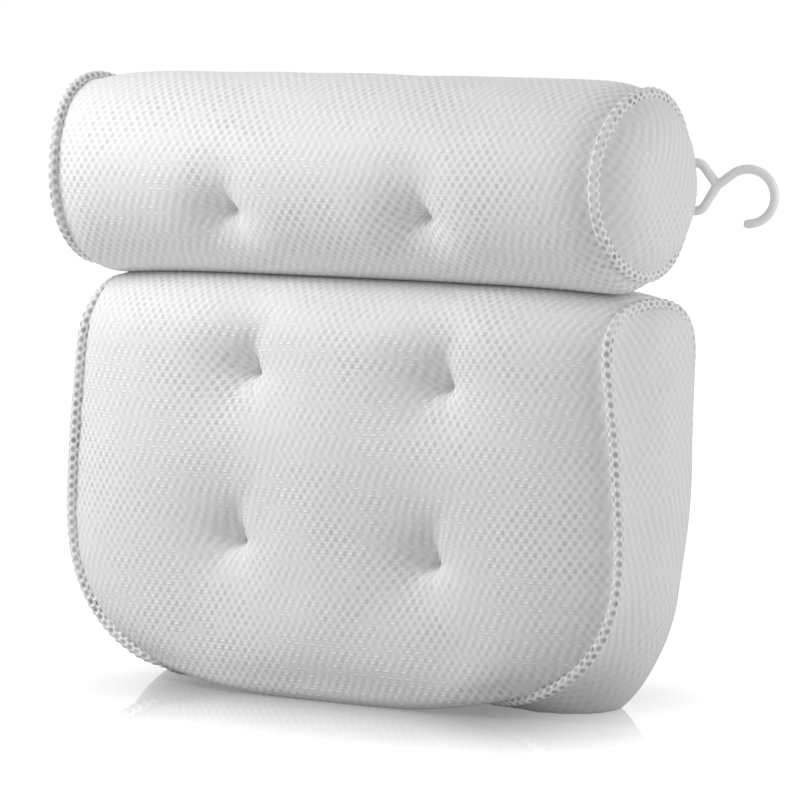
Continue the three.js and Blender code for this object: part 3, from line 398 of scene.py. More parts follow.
def sheet(name, points, material, cloth, wall=0.0, offset=-1.0, **closing):
    """A surface from a grid of points, with a wall in mm: inward at offset -1, half to each side
    at 0."""
    faces = grid_faces(*points.shape[:2], **closing)
    made = piece(name, points.reshape(-1, 3), faces, material, cloth.reshape(-1, 2))
    if wall:
        solid = made.modifiers.new("wall", "SOLIDIFY")
        solid.thickness, solid.offset = wall * MM, offset
    return made


def merge_points(made, distance=1e-6):
    """Merges points closer than a distance in metres, such as the ones at a pole."""
    mesh = bmesh.new()
    mesh.from_mesh(made.data)
    bmesh.ops.remove_doubles(mesh, verts=mesh.verts, dist=distance)
    bmesh.ops.dissolve_degenerate(mesh, edges=mesh.edges, dist=distance)
    mesh.to_mesh(made.data)
    mesh.free()


def wrap_seam(made, lengths):
    """Lifts the cloth coordinates of the faces that close a ring by its whole length, given for
    each axis, so the pattern doesn't run backwards there."""
    layer = made.data.uv_layers["cloth"].data
    uv = np.empty(len(layer) * 2)
    layer.foreach_get("uv", uv)
    uv = uv.reshape(-1, 4, 2)
    for axis, length in lengths.items():
        high = uv[..., axis].max(1, keepdims=True)
        low = uv[..., axis] < high - length * MM / 2
        uv[..., axis] += np.where(low, length * MM, 0)
    layer.foreach_set("uv", uv.ravel())


def normals(points, ring=False):
    """Unit normals of a grid, from the cross product of its two central differences."""
    if ring:
        down = np.roll(points, -1, 0) - np.roll(points, 1, 0)
    else:
        down = np.gradient(points, axis=0)
    cross = np.cross(np.gradient(points, axis=1), down)
    return cross / np.maximum(np.linalg.norm(cross, axis=-1, keepdims=True), TINY)


def lengths_along(path):
    """The length along a path at each of its points."""
    return np.concatenate([[0], np.cumsum(np.linalg.norm(np.diff(path, axis=0), axis=1))])


def spaced(values, lengths, spacing):
    """Values at even steps of the integral of 1 / spacing over the length."""
    total = np.cumsum(np.diff(lengths, prepend=lengths[0]) / spacing)
    count = int(np.ceil(total[-1]))
    return np.interp(np.linspace(0, total[-1], count + 1), total, values)


def smooth_step(value):
    """3 v^2 - 2 v^3 of a value that is held between 0 and 1."""
    held = np.clip(value, 0, 1)
    return held * held * (3 - 2 * held)


def waves(u, v, height, sizes, seed):
    """A smooth random field between about plus and minus its height: a sum of sines whose
    directions and phases come from a fixed seed, for wavelengths in mm."""
    chance = np.random.default_rng(seed)
    field = np.zeros(np.broadcast(u, v).shape)
    for size in sizes:
        turn, phase = chance.uniform(0, 2 * np.pi, 2)
        field = field + np.sin(2 * np.pi * (u * np.cos(turn) + v * np.sin(turn)) / size + phase)
    return height * field / len(sizes)


# Slack cloth

def simulated(points, held, most, ring=True, flip=False):
    """The displacement, in mm and at most so long, that pressure gives a grid of slack cloth
    that is held at some of its points."""
    rows, columns = points.shape[:2]
    trial = piece("cloth_trial", points.reshape(-1, 3),
                  grid_faces(rows, columns, ring=ring, flip=flip), COVER_MESH)
    group = trial.vertex_groups.new(name="held")
    group.add(np.flatnonzero(held.ravel()).tolist(), 1.0, "REPLACE")
    cloth = trial.modifiers.new("cloth", "CLOTH")
    for key, value in CLOTH.items():
        setattr(cloth.settings, key, value)
    cloth.settings.effector_weights.gravity = 0.0
    for number in range(1, CLOTH_STEPS + 1):
        bpy.context.scene.frame_set(number)
    result = trial.evaluated_get(bpy.context.evaluated_depsgraph_get())
    place = np.empty(rows * columns * 3)
    result.data.vertices.foreach_get("co", place)
    moved = place.reshape(points.shape) / MM - points
    length = np.linalg.norm(moved, axis=-1, keepdims=True)
    data = trial.data
    bpy.data.objects.remove(trial)
    bpy.data.meshes.remove(data)
    bpy.context.scene.frame_set(1)
    return moved * np.minimum(1, most / np.maximum(length, TINY))


def evened(grid, times):
    """A ring grid smoothed so many times with the weights 1, 2, 1 both ways."""
    for _ in range(times):
        grid = (np.roll(grid, 1, 0) + 2 * grid + np.roll(grid, -1, 0)) / 4
        wide = np.concatenate([grid[:, :1], grid, grid[:, -1:]], 1)
        grid = (wide[:, :-2] + 2 * grid + wide[:, 2:]) / 4
    return grid


def resampled(grid, place, axis, ring=False):
    """A grid read at new places along one axis, with Catmull-Rom weights of four neighbours."""
    count = grid.shape[axis]
    start = np.floor(place).astype(int)
    t = place - start
    weights = (t * (-0.5 + t * (1 - 0.5 * t)), 1 + t * t * (1.5 * t - 2.5),
               t * (0.5 + t * (2 - 1.5 * t)), t * t * (0.5 * t - 0.5))
    shape = [-1 if k == axis else 1 for k in range(grid.ndim)]
    total = 0.0
    for step, weight in enumerate(weights):
        index = start + step - 1
        index = index % count if ring else np.clip(index, 0, count - 1)
        total = total + np.take(grid, index, axis) * weight.reshape(shape)
    return total


def refined(moved, rows, columns, last, turns, places):
    """A ring grid of displacements at rows and columns, read at finer turns and places. Last is
    the turn at which the ring closes."""
    turn_place = np.interp(turns, np.append(rows, last), np.arange(len(rows) + 1))
    moved = resampled(moved, turn_place, 0, ring=True)
    return resampled(moved, np.interp(places, columns, np.arange(len(columns))), 1)


# Back cushion

def outline(height, half, taper, corner, reach, power):
    """Half the width of one seam's outline: a power taper above the corner, below it a
    superellipse."""
    rise = np.clip((height - corner) / (SEAM_TOP - corner), 0, 1)
    fall = np.clip((corner - height) / (corner - SEAM_LIFT), 0, 1)
    return half - taper * rise ** TAPER_POWER - reach * (1 - (1 - fall ** power) ** (1 / power))


def half_width(height, depth):
    """Half the width at a height and a depth, mixed from the front seam's outline to the back
    seam's."""
    share = (depth + FRONT_DEPTH) / (FRONT_DEPTH + BACK_DEPTH)
    front, back = outline(height, *FRONT_OUTLINE), outline(height, *BACK_OUTLINE)
    return front + (back - front) * share


def extents(crown):
    """How far the front and the back reach and how high the top is, at a crown."""
    return (FRONT_DEPTH + FRONT_CROWN * crown, BACK_DEPTH + BACK_CROWN * crown,
            SEAM_TOP + (HEIGHT - SEAM_TOP) * crown ** TOP_POWER)


def fullness(crown, behind):
    """The power of the arch over the top: each seam's own at crown 0, and one at crown 1."""
    seam_power = np.where(behind, BACK_SEAM_FULLNESS, SEAM_FULLNESS)
    return seam_power + (CROWN_FULLNESS - seam_power) * crown


def girth(turn, crown, inset=0.0):
    """Depth and height on the cushion's side profile at a turn: a straight front and back over
    a round foot, and a superelliptic arch. Crown is 0 on the seam and 1 in mid width."""
    turn, crown = np.broadcast_arrays(np.asarray(turn, float), np.asarray(crown, float))
    front, back, top = (extent - inset for extent in extents(crown))
    power = fullness(crown, turn > 1.5)
    foot = SEAM_FOOT + (CROWN_FOOT - SEAM_FOOT) * crown
    lift = SEAM_LIFT * (1 - crown)
    height = SHOULDER * np.clip(np.where(turn < 2, turn, 3 - turn), 0, 1)
    below = np.clip(foot - height, 0, None)
    step_in = foot - np.sqrt(np.clip(foot ** 2 - below ** 2, 0, None))
    side_z = height + lift * np.clip(1 - height / foot, 0, None)
    angle = np.pi * np.clip(2 - turn, 0, 1)
    cosine, sine = np.cos(angle), np.clip(np.sin(angle), 0, None)
    arch_y = (back - front) / 2 + np.sign(cosine) * (front + back) / 2 * np.abs(cosine) ** power
    arch_z = SHOULDER + (top - SHOULDER) * sine ** power
    share = np.clip(turn - 3, 0, 1)
    under_y = (back - foot) * (1 - share) + (foot - front) * share
    under_z = np.maximum(lift - FLAT_CUT * crown, 0)
    sides = [turn < 1, turn < 2, turn < 3]
    return (np.select(sides, [step_in - front, arch_y, back - step_in], under_y),
            np.select(sides, [side_z, arch_z, side_z], under_z))


def pinch(dx, dz, depth, radius, groove_depth):
    """What a tuft does at an offset from it: how deep it pulls, how far its creases raise the
    cover, and the offset of the cloth drawn towards it. The pull is a wide bowl, drawn out
    upward, a groove that rises from it and bends right, and a slit with steep walls; the
    creases are cosines round the tuft that fade outward, longest above it."""
    distance, turn, above = np.hypot(dx, dz), np.arctan2(dz, dx), dz > 0
    stretch = np.where(above, ABOVE_STRETCH, BELOW_STRETCH)
    bowl = np.clip(1 - np.hypot(dx, dz * stretch) / radius, 0, None) ** BOWL_POWER
    slit = smooth_step(1 - np.hypot(dx / SLIT_HALF, dz / np.where(above, SLIT_ABOVE, SLIT_BELOW)))
    bend = GROOVE_BEND * np.clip(dz, 0, None) ** 2
    run = np.exp(-(dz / np.where(above, GROOVE_ABOVE, GROOVE_BELOW)) ** 2)
    groove = run / (1 + ((dx - bend) / GROOVE_HALF) ** 2) ** GROOVE_POWER
    reach = CREASE_REACH + CREASE_RISE * np.clip(np.sin(turn), 0, None) ** 2
    fold = np.clip(distance / CREASE_START, 0, 1) ** 2 * sum(
        height * np.cos(count * turn + phase) * np.exp(-distance / (share * reach))
        for height, count, phase, share in CREASES)
    drawn = DRAWN * (1 - np.exp(-distance / DRAWN_NEAR)) * np.exp(-distance / DRAWN_FAR)
    toward = drawn / np.maximum(distance, TINY)
    pull = depth * bowl + groove_depth * groove + SLIT_DEPTH * slit
    return pull, fold, np.stack([dx * toward, dz * toward], -1)


def cover_point(turn, across, tufted=True):
    """The cover at a turn round the girth and a share across, with the tufts' creases and the
    offset of the cloth. Crown is 1 - |across|^5, and depth, height and half width follow it."""
    y, z = girth(turn, 1 - np.abs(across) ** CROWN_POWER)
    seam_y, seam_z = girth(turn, 0.0)
    x = half_width(seam_z, seam_y) * across
    x, y, z, turn = np.broadcast_arrays(x, y, z, turn)
    fold, drawn = np.zeros(x.shape), np.zeros(x.shape + (2,))
    y = y.copy()
    if tufted:
        front = turn < TUFTED_TURN
        for place, level in TUFTS:
            pull, crease, slid = pinch(x - place, z - level, TUFT_DEPTH, TUFT_RADIUS, TUFT_GROOVE)
            y += np.where(front, pull, 0)
            fold += np.where(front, crease, 0)
            drawn += np.where(front[..., None], slid, 0)
    return np.stack([x, y, z], -1), fold, drawn


def cushion_grid(fine, coarse):
    """Turns and shares across whose spacing in mm is fine near the tufts and coarse elsewhere,
    and each turn's length along the mid profile."""
    turn = np.linspace(0, 4, TURN_SAMPLES, endpoint=False)
    y, z = girth(turn, 1.0)
    length = lengths_along(np.stack([y, z], -1))
    near = np.min([np.abs(z - level) for _, level in TUFTS], 0) < TUFT_NEAR
    spacing = np.where((turn < FINE_TURN) & near, fine, np.where(turn < 2, coarse, 2 * coarse))
    turns = spaced(turn, length, spacing)[:-1]
    across = np.linspace(-1, 1, SAMPLES)
    place = across * FRONT_OUTLINE[0]
    near = np.min([np.abs(place - x) for x, _ in TUFTS], 0) < TUFT_NEAR_ACROSS
    gap = np.where(near, fine, coarse)
    return turns, spaced(across, place - place[0], gap), np.interp(turns, turn, length)


def valley(edge):
    """The valley beside a binding, at a distance from the seam: e exp(1 - e) with e the distance
    over the valley's reach."""
    share = edge / VALLEY_REACH
    return -VALLEY_DEPTH * share * np.exp(1 - share)


def pucker(edge, length, kind):
    """The small waves along a seam, fading by exp(-e) with e the distance over their fade."""
    return np.exp(-edge / PUCKER_FADE) * (edge > 0) * waves(length, 0 * length, *kind)


def cushion_free(turn):
    """1 where the cushion's cover hangs free in front, 0 under the roll, behind and underneath:
    two smooth steps."""
    return smooth_step(turn / 0.12) * smooth_step((1.36 - turn) / 0.2)


def cushion_swell(turns, across):
    """How the cushion's cover swells, in mm, from a cloth simulation on a coarse grid that is
    held at the seams and the tufts."""
    rows, columns, _ = cushion_grid(TRIAL, TRIAL)
    points = cover_point(rows[:, None], columns[None, :])[0]
    held = ((np.abs(columns) > SEAM_HELD_SHARE)[None, :]
            | (cushion_free(rows) < HELD_SHARE)[:, None])
    for place, level in TUFTS:
        away = np.hypot(points[..., 0] - place, points[..., 2] - level)
        held = held | ((away < TUFT_HELD) & (rows < TUFTED_TURN)[:, None])
    moved = evened(simulated(points, held, COVER_SWELL), COVER_EVEN)
    moved = refined(moved, rows, columns, 4.0, turns, across)
    return moved * cushion_free(turns)[:, None, None]


def cushion_cover():
    """The long cover panel: front, top, back and underside in one, ending on both side seams."""
    turns, across, length = cushion_grid(FINE, COARSE)
    points, fold, drawn = cover_point(turns[:, None], across[None, :])
    out = normals(points, ring=True)
    u, v = points[..., 0], np.broadcast_to(length[:, None], points.shape[:2])
    edge = (1 - np.abs(across))[None, :] * FRONT_OUTLINE[0]
    free = cushion_free(turns)[:, None]
    lump = free * np.clip(edge / LUMP_FADE, 0, 1) * waves(u, v, *COVER_LUMPS)
    raised = fold + pucker(edge, v, COVER_PUCKER) + lump + valley(edge) * (0.3 + 0.7 * free)
    points = points + out * raised[..., None] + cushion_swell(turns, across)
    points[..., 2] = np.maximum(points[..., 2], 0)
    cloth = np.stack([u + drawn[..., 0], v + drawn[..., 1]], -1)
    return sheet("cushion_cover", points, COVER_MESH, cloth, WALL, ring=True)


def seam_path(count):
    """The right side seam as a closed loop: the girth at crown 0, in even steps of length."""
    turn = np.linspace(0, 4, SEAM_SAMPLES, endpoint=False)
    path = cover_point(turn, 1.0, tufted=False)[0]
    length = lengths_along(np.concatenate([path, path[:1]]))
    turns = np.interp(np.linspace(0, length[-1], count + 1)[:-1], length, np.append(turn, 4.0))
    return cover_point(turns, 1.0, tufted=False)[0], length[-1]


def hole_distance(u, v, pitch, row):
    """Share of a pitch to the nearest centre of two staggered hole lattices."""
    distances = []
    for offset in (0.0, 0.5):
        across = (u / pitch + offset) % 1 - 0.5
        up = (v / row / 2 + offset) % 1 - 0.5
        distances.append(np.hypot(across, up * HOLE_TALL * row / pitch))
    return np.minimum(*distances)


def bead(name, path, length, centre, side):
    """A binding rolled round a seam: an oval tube on a closed path, whose radius dips at each
    hole of its own mesh. Its spokes start outward from the loop's centre."""
    tangent = np.roll(path, -1, 0) - np.roll(path, 1, 0)
    tangent /= np.linalg.norm(tangent, axis=1, keepdims=True)
    spoke = path - centre
    spoke -= tangent * np.sum(spoke * tangent, 1, keepdims=True)
    spoke /= np.linalg.norm(spoke, axis=1, keepdims=True)
    other = np.cross(tangent, spoke)
    around = np.linspace(0, 2 * np.pi, BEAD_SPOKES, endpoint=False)[None, :]
    along = round(length / BEAD_PITCH) * BEAD_PITCH
    u, v = around * BEAD, np.linspace(0, along, len(path), endpoint=False)[:, None]
    away = hole_distance(u, v, BEAD_ROUND / BEAD_HOLES_ROUND, BEAD_PITCH / 2)
    dip = np.clip(1 - away / BEAD_DIP_SHARE, 0, 1) ** 0.7
    radius = BEAD * (BEAD_WIDE + BEAD_OVAL * np.cos(2 * around)) - BEAD_DIP * dip
    points = path[:, None] + radius[..., None] * (
        np.cos(around)[..., None] * spoke[:, None] + np.sin(around)[..., None] * other[:, None])
    points[..., 0] *= side
    points[..., 2] = np.maximum(points[..., 2], 0.05)
    cloth = np.stack(np.broadcast_arrays(u, v), -1)
    made = sheet(name, points, BEAD_MESH, cloth, ring=True, loop=True, flip=side < 0)
    wrap_seam(made, {0: BEAD_ROUND, 1: along})
    return made


def side_points():
    """The right side panel: rows from the arch's top down to the foot and under it, each from
    the front seam to the back seam. It is raised along the outline's normal by a bulge,
    1 - |2 share^1.96 - 1|^2.9, that is fuller towards the foot."""
    down = np.linspace(0, 1, PANEL_SAMPLES)
    turn = np.where(down < ARCH_SHARE, 1.5 + 0.5 * down / ARCH_SHARE,
                    2 + (down - ARCH_SHARE) / (1 - ARCH_SHARE))
    y, z = girth(np.minimum(turn, LAST_TURN), 0.0)
    length = lengths_along(np.stack([half_width(z, (BACK_DEPTH - FRONT_DEPTH) / 2), y, z], -1))
    pick = np.interp(np.linspace(0, length[-1], PANEL_ROWS + 1), length, down)
    back = np.minimum(np.interp(pick, down, turn), LAST_TURN)
    length = np.interp(pick, down, length)
    front_y, front_z = girth(3 - back, 0.0, PANEL_INSET)
    back_y, back_z = girth(back, 0.0, PANEL_INSET)
    share = ((1 - np.cos(np.linspace(0, np.pi, PANEL_COLUMNS))) / 2)[None, :]
    y = front_y[:, None] + (back_y - front_y)[:, None] * share
    z = front_z[:, None] + (back_z - front_z)[:, None] * share
    slope = (half_width(z + SLOPE_STEP, y) - half_width(z - SLOPE_STEP, y)) / (2 * SLOPE_STEP)
    low = smooth_step(1 - z / FOOT_BULGE_HEIGHT)
    most = (SIDE_BULGE + (FOOT_BULGE - SIDE_BULGE) * low) * smooth_step(z / SIDE_FADE)
    width_share = ((back_y - front_y) / (FRONT_DEPTH + BACK_DEPTH))[:, None]
    bulge = most * (1 - np.abs(2 * share ** SIDE_LAG - 1) ** SIDE_POWER) * width_share
    lean = np.hypot(1, slope)
    x, z = half_width(z, y) + bulge / lean, z - bulge * slope / lean
    points = np.stack([x, y, np.maximum(z, 0)], -1)
    under = points[-1:]
    inner = under * (0, 1, 1) + (HEM_HALF, 0, 0)
    steps = np.linspace(0, 1, HEM_ROWS + 1)[1:, None, None]
    points = np.concatenate([points, under * (1 - steps) + inner * steps])
    return points, np.concatenate([length, length[-1] + steps[:, 0, 0] * HEM_LENGTH])


def cushion_side(name, side):
    """One side panel: side_points, small lumps and the swell of a simulation, mirrored by side."""
    points, length = side_points()
    cloth = np.stack([points[..., 1], np.broadcast_to(length[:, None], points.shape[:2])], -1)
    out = normals(points)
    out *= np.sign(np.sum(out[..., 0]))
    edge = np.minimum(points[..., 1] - points[:, :1, 1], points[:, -1:, 1] - points[..., 1])
    lump = np.clip(edge / PANEL_FADE, 0, 1) * waves(cloth[..., 0], cloth[..., 1], *PANEL_LUMPS)
    points = points + out * lump[..., None]
    z = points[..., 2]
    held = (edge < PANEL_HELD) | (z < PANEL_HELD_HEIGHT)
    fade = (np.clip(edge / PANEL_FREE, 0, 1)
            * np.clip((z - PANEL_FREE_HEIGHT) / PANEL_FREE_RISE, 0, 1))
    moved = simulated(points, held, PANEL_SWELL, ring=False, flip=True)
    points = points + moved * fade[..., None]
    points[..., 2] = np.maximum(points[..., 2], 0)
    points[..., 0] *= side
    return sheet(name, points, PANEL_MESH, cloth, WALL, flip=side > 0)


# Neck roll

def sag(x):
    """How the roll lies, 0.4 s - 0.6 s^2 with s the share along it: its ends settle a little,
    the left one more than the right one."""
    share = x / ROLL_HALF
    return SAG_TILT * share - SAG_BOW * share ** 2


def seam_radius(side):
    """The roll's seams are drawn in unevenly, the right one further than the left one."""
    return ROLL_SEAM_RADIUS - SEAM_DRAW - SEAM_UNEVEN * side


def seam_reach(side, turn):
    """How far out a roll's seam lies at a turn: both reach out further at their top and foot, by
    the square of the sine."""
    sine = np.sin(turn)
    lean = np.where(sine > 0, LEFT_LEAN_TOP, LEFT_LEAN_FOOT) if side < 0 else RIGHT_LEAN
    return ROLL_HALF - (RIGHT_SHORT if side > 0 else 0) + lean * sine ** 2


def cushion_top(x, y):
    """The height of the cushion's top at a place: the arch of girth, solved for its height."""
    crown = 1 - np.clip(np.abs(x) / TOP_HALF, 0, 1) ** CROWN_POWER
    front, back, top = extents(crown)
    power = fullness(crown, y > (back - front) / 2)
    cosine = np.clip(np.abs(2 * y - back + front) / (front + back), 0, 1) ** (1 / power)
    return SHOULDER + (top - SHOULDER) * np.sqrt(1 - cosine ** 2) ** power


def roll_point(turn, x):
    """The roll's cover at a turn round its axis, from the front, and a place along it: a drum
    whose radius falls to the seams' by a power of |x|, pinched by two tufts. Its underside
    hangs a little lower in front and lies on the cushion's top."""
    share = np.abs(x) / ROLL_HALF
    below = np.clip(-np.sin(turn), 0, 1)
    power = np.where(x > 0, RIGHT_POWER, ROLL_POWER) + UNDER_POWER * below ** 2
    radius = ROLL_RADIUS + (seam_radius(np.sign(x)) - ROLL_RADIUS) * share ** power
    turn, x, radius = np.broadcast_arrays(turn, x, radius)
    away = (turn - ROLL_TUFT_TURN + np.pi) % (2 * np.pi) - np.pi
    fold, drawn = np.zeros(x.shape), np.zeros(x.shape + (2,))
    for side in SIDES.values():
        pull, crease, slid = pinch(x - side * ROLL_TUFT_X, ROLL_RADIUS * away, ROLL_TUFT_DEPTH,
                                   ROLL_TUFT_RADIUS, ROLL_TUFT_GROOVE)
        radius, fold, drawn = radius - pull, fold + crease, drawn + slid
    y, z = -radius * np.cos(turn), ROLL_Z + sag(x) + radius * np.sin(turn)
    drop = ROLL_DROP * (DROP_SHARE + (1 - DROP_SHARE) * share ** 4) * (1 - share ** 48)
    z = z - drop * below ** 2 * np.clip((DROP_START - y) / DROP_FADE, 0, 1)
    z = np.where(np.abs(x) < TOP_HALF, np.maximum(z, cushion_top(x, y) - PRESSED), z)
    reach = np.where(x < 0, seam_reach(-1, turn), seam_reach(1, turn))
    x = x + np.sign(x) * (reach - ROLL_HALF) * share ** 4
    return np.stack([x, y, z], -1), fold, drawn


def roll_grid(fine, coarse):
    """Turns and places along the roll, fine near its tufts and coarse elsewhere."""
    turn = np.linspace(-np.pi, np.pi, SAMPLES)
    near = np.abs(turn - ROLL_TUFT_TURN) < ROLL_FINE_TURN
    far = np.where(np.abs(turn) < ROLL_COARSE_TURN, coarse, ROLL_COARSER * coarse)
    spacing = np.where(near, fine, far)
    x = np.linspace(-ROLL_HALF, ROLL_HALF, SAMPLES)
    gap = np.where(np.abs(np.abs(x) - ROLL_TUFT_X) < TUFT_NEAR, fine, coarse)
    return (spaced(turn, (turn + np.pi) * ROLL_RADIUS, spacing)[:-1],
            spaced(x, x - x[0], gap))


def roll_free(turn):
    """1 where the roll's cover is free in front and on top, 0 where it lies on the cushion and
    behind: two smooth steps."""
    return smooth_step((turn + 1.25) / 0.4) * smooth_step((2.2 - turn) / 0.5)


def roll_swell(turns, places):
    """How the roll's cover swells, in mm, from a cloth simulation like the cushion's."""
    rows, columns = roll_grid(TRIAL, TRIAL)
    points = roll_point(rows[:, None], columns[None, :])[0]
    held = ((np.abs(columns) > ROLL_HALF - ROLL_SEAM_HELD)[None, :]
            | (roll_free(rows) < HELD_SHARE)[:, None])
    across = np.abs(columns)[None, :] - ROLL_TUFT_X
    away = np.hypot(across, (rows - ROLL_TUFT_TURN)[:, None] * ROLL_RADIUS)
    moved = evened(simulated(points, held | (away < TUFT_HELD), ROLL_SWELL), ROLL_EVEN)
    return refined(moved, rows, columns, np.pi, turns, places) * roll_free(turns)[:, None, None]


def roll_cover():
    """The roll's cover, a tube between its two seams."""
    turns, places = roll_grid(FINE, COARSE)
    points, fold, drawn = roll_point(turns[:, None], places[None, :])
    x = points[..., 0]
    out = points - np.stack([x, 0 * x, ROLL_Z + sag(x)], -1)
    out /= np.linalg.norm(out, axis=-1, keepdims=True)
    v = np.broadcast_to((turns * ROLL_RADIUS)[:, None], x.shape)
    edge = ROLL_HALF - np.abs(places)[None, :]
    lump = (roll_free(turns)[:, None] * np.clip(edge / LUMP_FADE, 0, 1)
            * waves(x, v, *ROLL_LUMPS))
    raised = fold + pucker(edge, v, ROLL_PUCKER) + lump + valley(edge)
    points = points + out * raised[..., None] + roll_swell(turns, places)
    cloth = np.stack([points[..., 0] + drawn[..., 0], v + drawn[..., 1]], -1)
    made = sheet("roll_cover", points, COVER_MESH, cloth, WALL, ring=True)
    wrap_seam(made, {1: 2 * np.pi * ROLL_RADIUS})
    return made


def roll_end(name, side):
    """The roll's end panel: a dome of height 15.5 (1 - (r / R)^4), on a polar grid."""
    rim = seam_radius(side)
    share = (np.linspace(1, 0, 34) ** 0.8)[:, None]
    turn = np.linspace(0, 2 * np.pi, 96, endpoint=False)
    y, z = rim * share * np.cos(turn), rim * share * np.sin(turn)
    dome = ROLL_END * (1 - share ** ROLL_END_POWER)
    lump = (1 - share ** 6) * waves(y, z, *END_LUMPS)
    lean = (seam_reach(side, turn) - ROLL_HALF) * share ** 3
    x = side * (ROLL_HALF + dome + lump + lean)
    points = np.stack([x, y, ROLL_Z + sag(side * ROLL_HALF) + z], -1)
    made = sheet(name, points, PANEL_MESH, np.stack([y, z], -1), WALL, loop=True, flip=side < 0)
    merge_points(made)
    return made


def roll_bead(name, side):
    """The binding round one end of the roll."""
    rim, middle = seam_radius(side), ROLL_Z + sag(side * ROLL_HALF)
    turn = np.linspace(0, 2 * np.pi, ROLL_SEAM_POINTS, endpoint=False)
    path = np.stack([seam_reach(side, turn), rim * np.cos(turn), middle + rim * np.sin(turn)], -1)
    return bead(name, path, 2 * np.pi * rim, np.array([ROLL_HALF, 0, middle]), side)


# Hook and tape

def rounded(points, radius, steps=8):
    """A path through points, each inner one replaced by a quadratic curve of that reach."""
    points = [np.array(point, float) for point in points]
    path = [points[0][None]]
    share = np.linspace(0, 1, steps)[:, None]
    for before, corner, after in zip(points, points[1:], points[2:]):
        start = corner + (before - corner) / np.linalg.norm(before - corner) * radius
        end = corner + (after - corner) / np.linalg.norm(after - corner) * radius
        path.append((1 - share) ** 2 * start + 2 * share * (1 - share) * corner + share ** 2 * end)
    path.append(points[-1][None])
    return np.concatenate(path)


def even(path, step):
    """The same path in even steps of about that length."""
    length = lengths_along(path)
    places = np.linspace(0, length[-1], int(length[-1] / step) + 1)
    return np.stack([np.interp(places, length, path[:, k]) for k in range(path.shape[1])], -1)


def rod(path):
    """A round bar on a path in the hook's own plane, (reach, rise), with hemispherical ends."""
    tangent = np.gradient(path, axis=0)
    tangent /= np.linalg.norm(tangent, axis=1, keepdims=True)
    cap = np.linspace(0, np.pi / 2, CAP_RINGS, endpoint=False)
    start = path[0] - tangent[0] * (WIRE * np.cos(cap))[:, None]
    end = path[-1] + tangent[-1] * (WIRE * np.cos(cap[::-1]))[:, None]
    centre = np.concatenate([start, path, end])
    size = np.concatenate([WIRE * np.sin(cap), np.full(len(path), WIRE),
                           WIRE * np.sin(cap[::-1])])
    way = np.concatenate([np.repeat(tangent[:1], CAP_RINGS, 0), tangent,
                          np.repeat(tangent[-1:], CAP_RINGS, 0)])
    across = np.stack([-way[:, 1], way[:, 0]], -1)
    around = np.linspace(0, 2 * np.pi, ROD_SPOKES, endpoint=False)[None, :, None]
    flat = centre[:, None] + size[:, None, None] * np.cos(around) * across[:, None]
    out = size[:, None] * np.sin(around)[..., 0]
    return np.stack([flat[..., 0], out, flat[..., 1]], -1)


def settle(made):
    """Replaces a mesh by what its modifiers make of it."""
    result = bpy.data.meshes.new_from_object(
        made.evaluated_get(bpy.context.evaluated_depsgraph_get()))
    made.modifiers.clear()
    made.data = result
    result.polygons.foreach_set("use_smooth", np.full(len(result.polygons), True))


def hook():
    """The moulded hook: a bar and two legs that meet, then a stem that bends round in a J. The
    bars are merged by a voxel remesh and smoothed, which leaves a fillet where they meet, and
    turned about the bar by the hook's own angle."""
    junction, centre = np.array(JUNCTION), np.array(BEND_CENTRE)
    legs = rounded([junction, (ARM, BAR_HALF), (0, BAR_HALF), (0, -BAR_HALF), (ARM, -BAR_HALF),
                    junction], CORNER)
    way = centre - junction
    lean = np.arctan2(way[1], way[0]) + np.arcsin(BEND / np.hypot(*way))
    turn = np.linspace(lean + np.pi / 2, -np.pi / 2, 40)
    bend = centre + BEND * np.stack([np.cos(turn), np.sin(turn)], -1)
    points, faces, first = [], [], 0
    for path in (legs, np.concatenate([junction[None], bend])):
        grid = rod(even(path, ROD_STEP))
        faces.append(grid_faces(*grid.shape[:2], loop=True) + first)
        points.append(grid.reshape(-1, 3))
        first += len(points[-1])
    made = piece("hook_body", np.concatenate(points), np.concatenate(faces), HOOK_PLASTIC)
    merge_points(made, 1e-5)
    remesh = made.modifiers.new("merge", "REMESH")
    remesh.mode, remesh.voxel_size, remesh.use_smooth_shade = "VOXEL", HOOK_VOXEL * MM, True
    soften = made.modifiers.new("fillet", "SMOOTH")
    soften.factor, soften.iterations = 0.5, 6
    settle(made)
    place = np.empty(len(made.data.vertices) * 3)
    made.data.vertices.foreach_get("co", place)
    x, y, z = place.reshape(-1, 3).T
    cosine, sine = np.cos(HOOK_TURN), np.sin(HOOK_TURN)
    turned = np.stack([x * cosine - y * sine, x * sine + y * cosine, z], -1)
    turned += np.array([BAR_X, BAR_Y, ROLL_Z + HOOK_RISE]) * MM
    made.data.vertices.foreach_set("co", turned.ravel())
    made.data.update()
    return made


def hook_tape():
    """The doubled tape: along the roll's back, round the hook's bar and back over itself."""
    low, high, radius = -EYE + TAPE / 2, -EYE + 1.5 * TAPE, EYE - TAPE / 2
    turn = np.linspace(-np.pi / 2, TAPE_TURN, 30)
    eye = radius * np.stack([np.cos(turn), np.sin(turn)], -1)
    path = even(np.concatenate([[(-TAPE_RUN, low)], eye, [(-TAPE_MEET, high), (-TAPE_RUN, high)]]),
                TAPE_STEP)
    width = np.linspace(-1, 1, TAPE_COLUMNS)[None, :] * TAPE_HALF
    points = np.stack(np.broadcast_arrays(BAR_X + path[:, :1], BAR_Y + path[:, 1:],
                                          ROLL_Z + HOOK_RISE + width), -1)
    along = np.arange(len(path))[:, None] * TAPE_STEP
    cloth = np.stack(np.broadcast_arrays(width, along), -1)
    return sheet("hook_tape", points, TAPE_WEAVE, cloth, TAPE_WALL, offset=0.0)


# Suction cups, tabs and joining strip

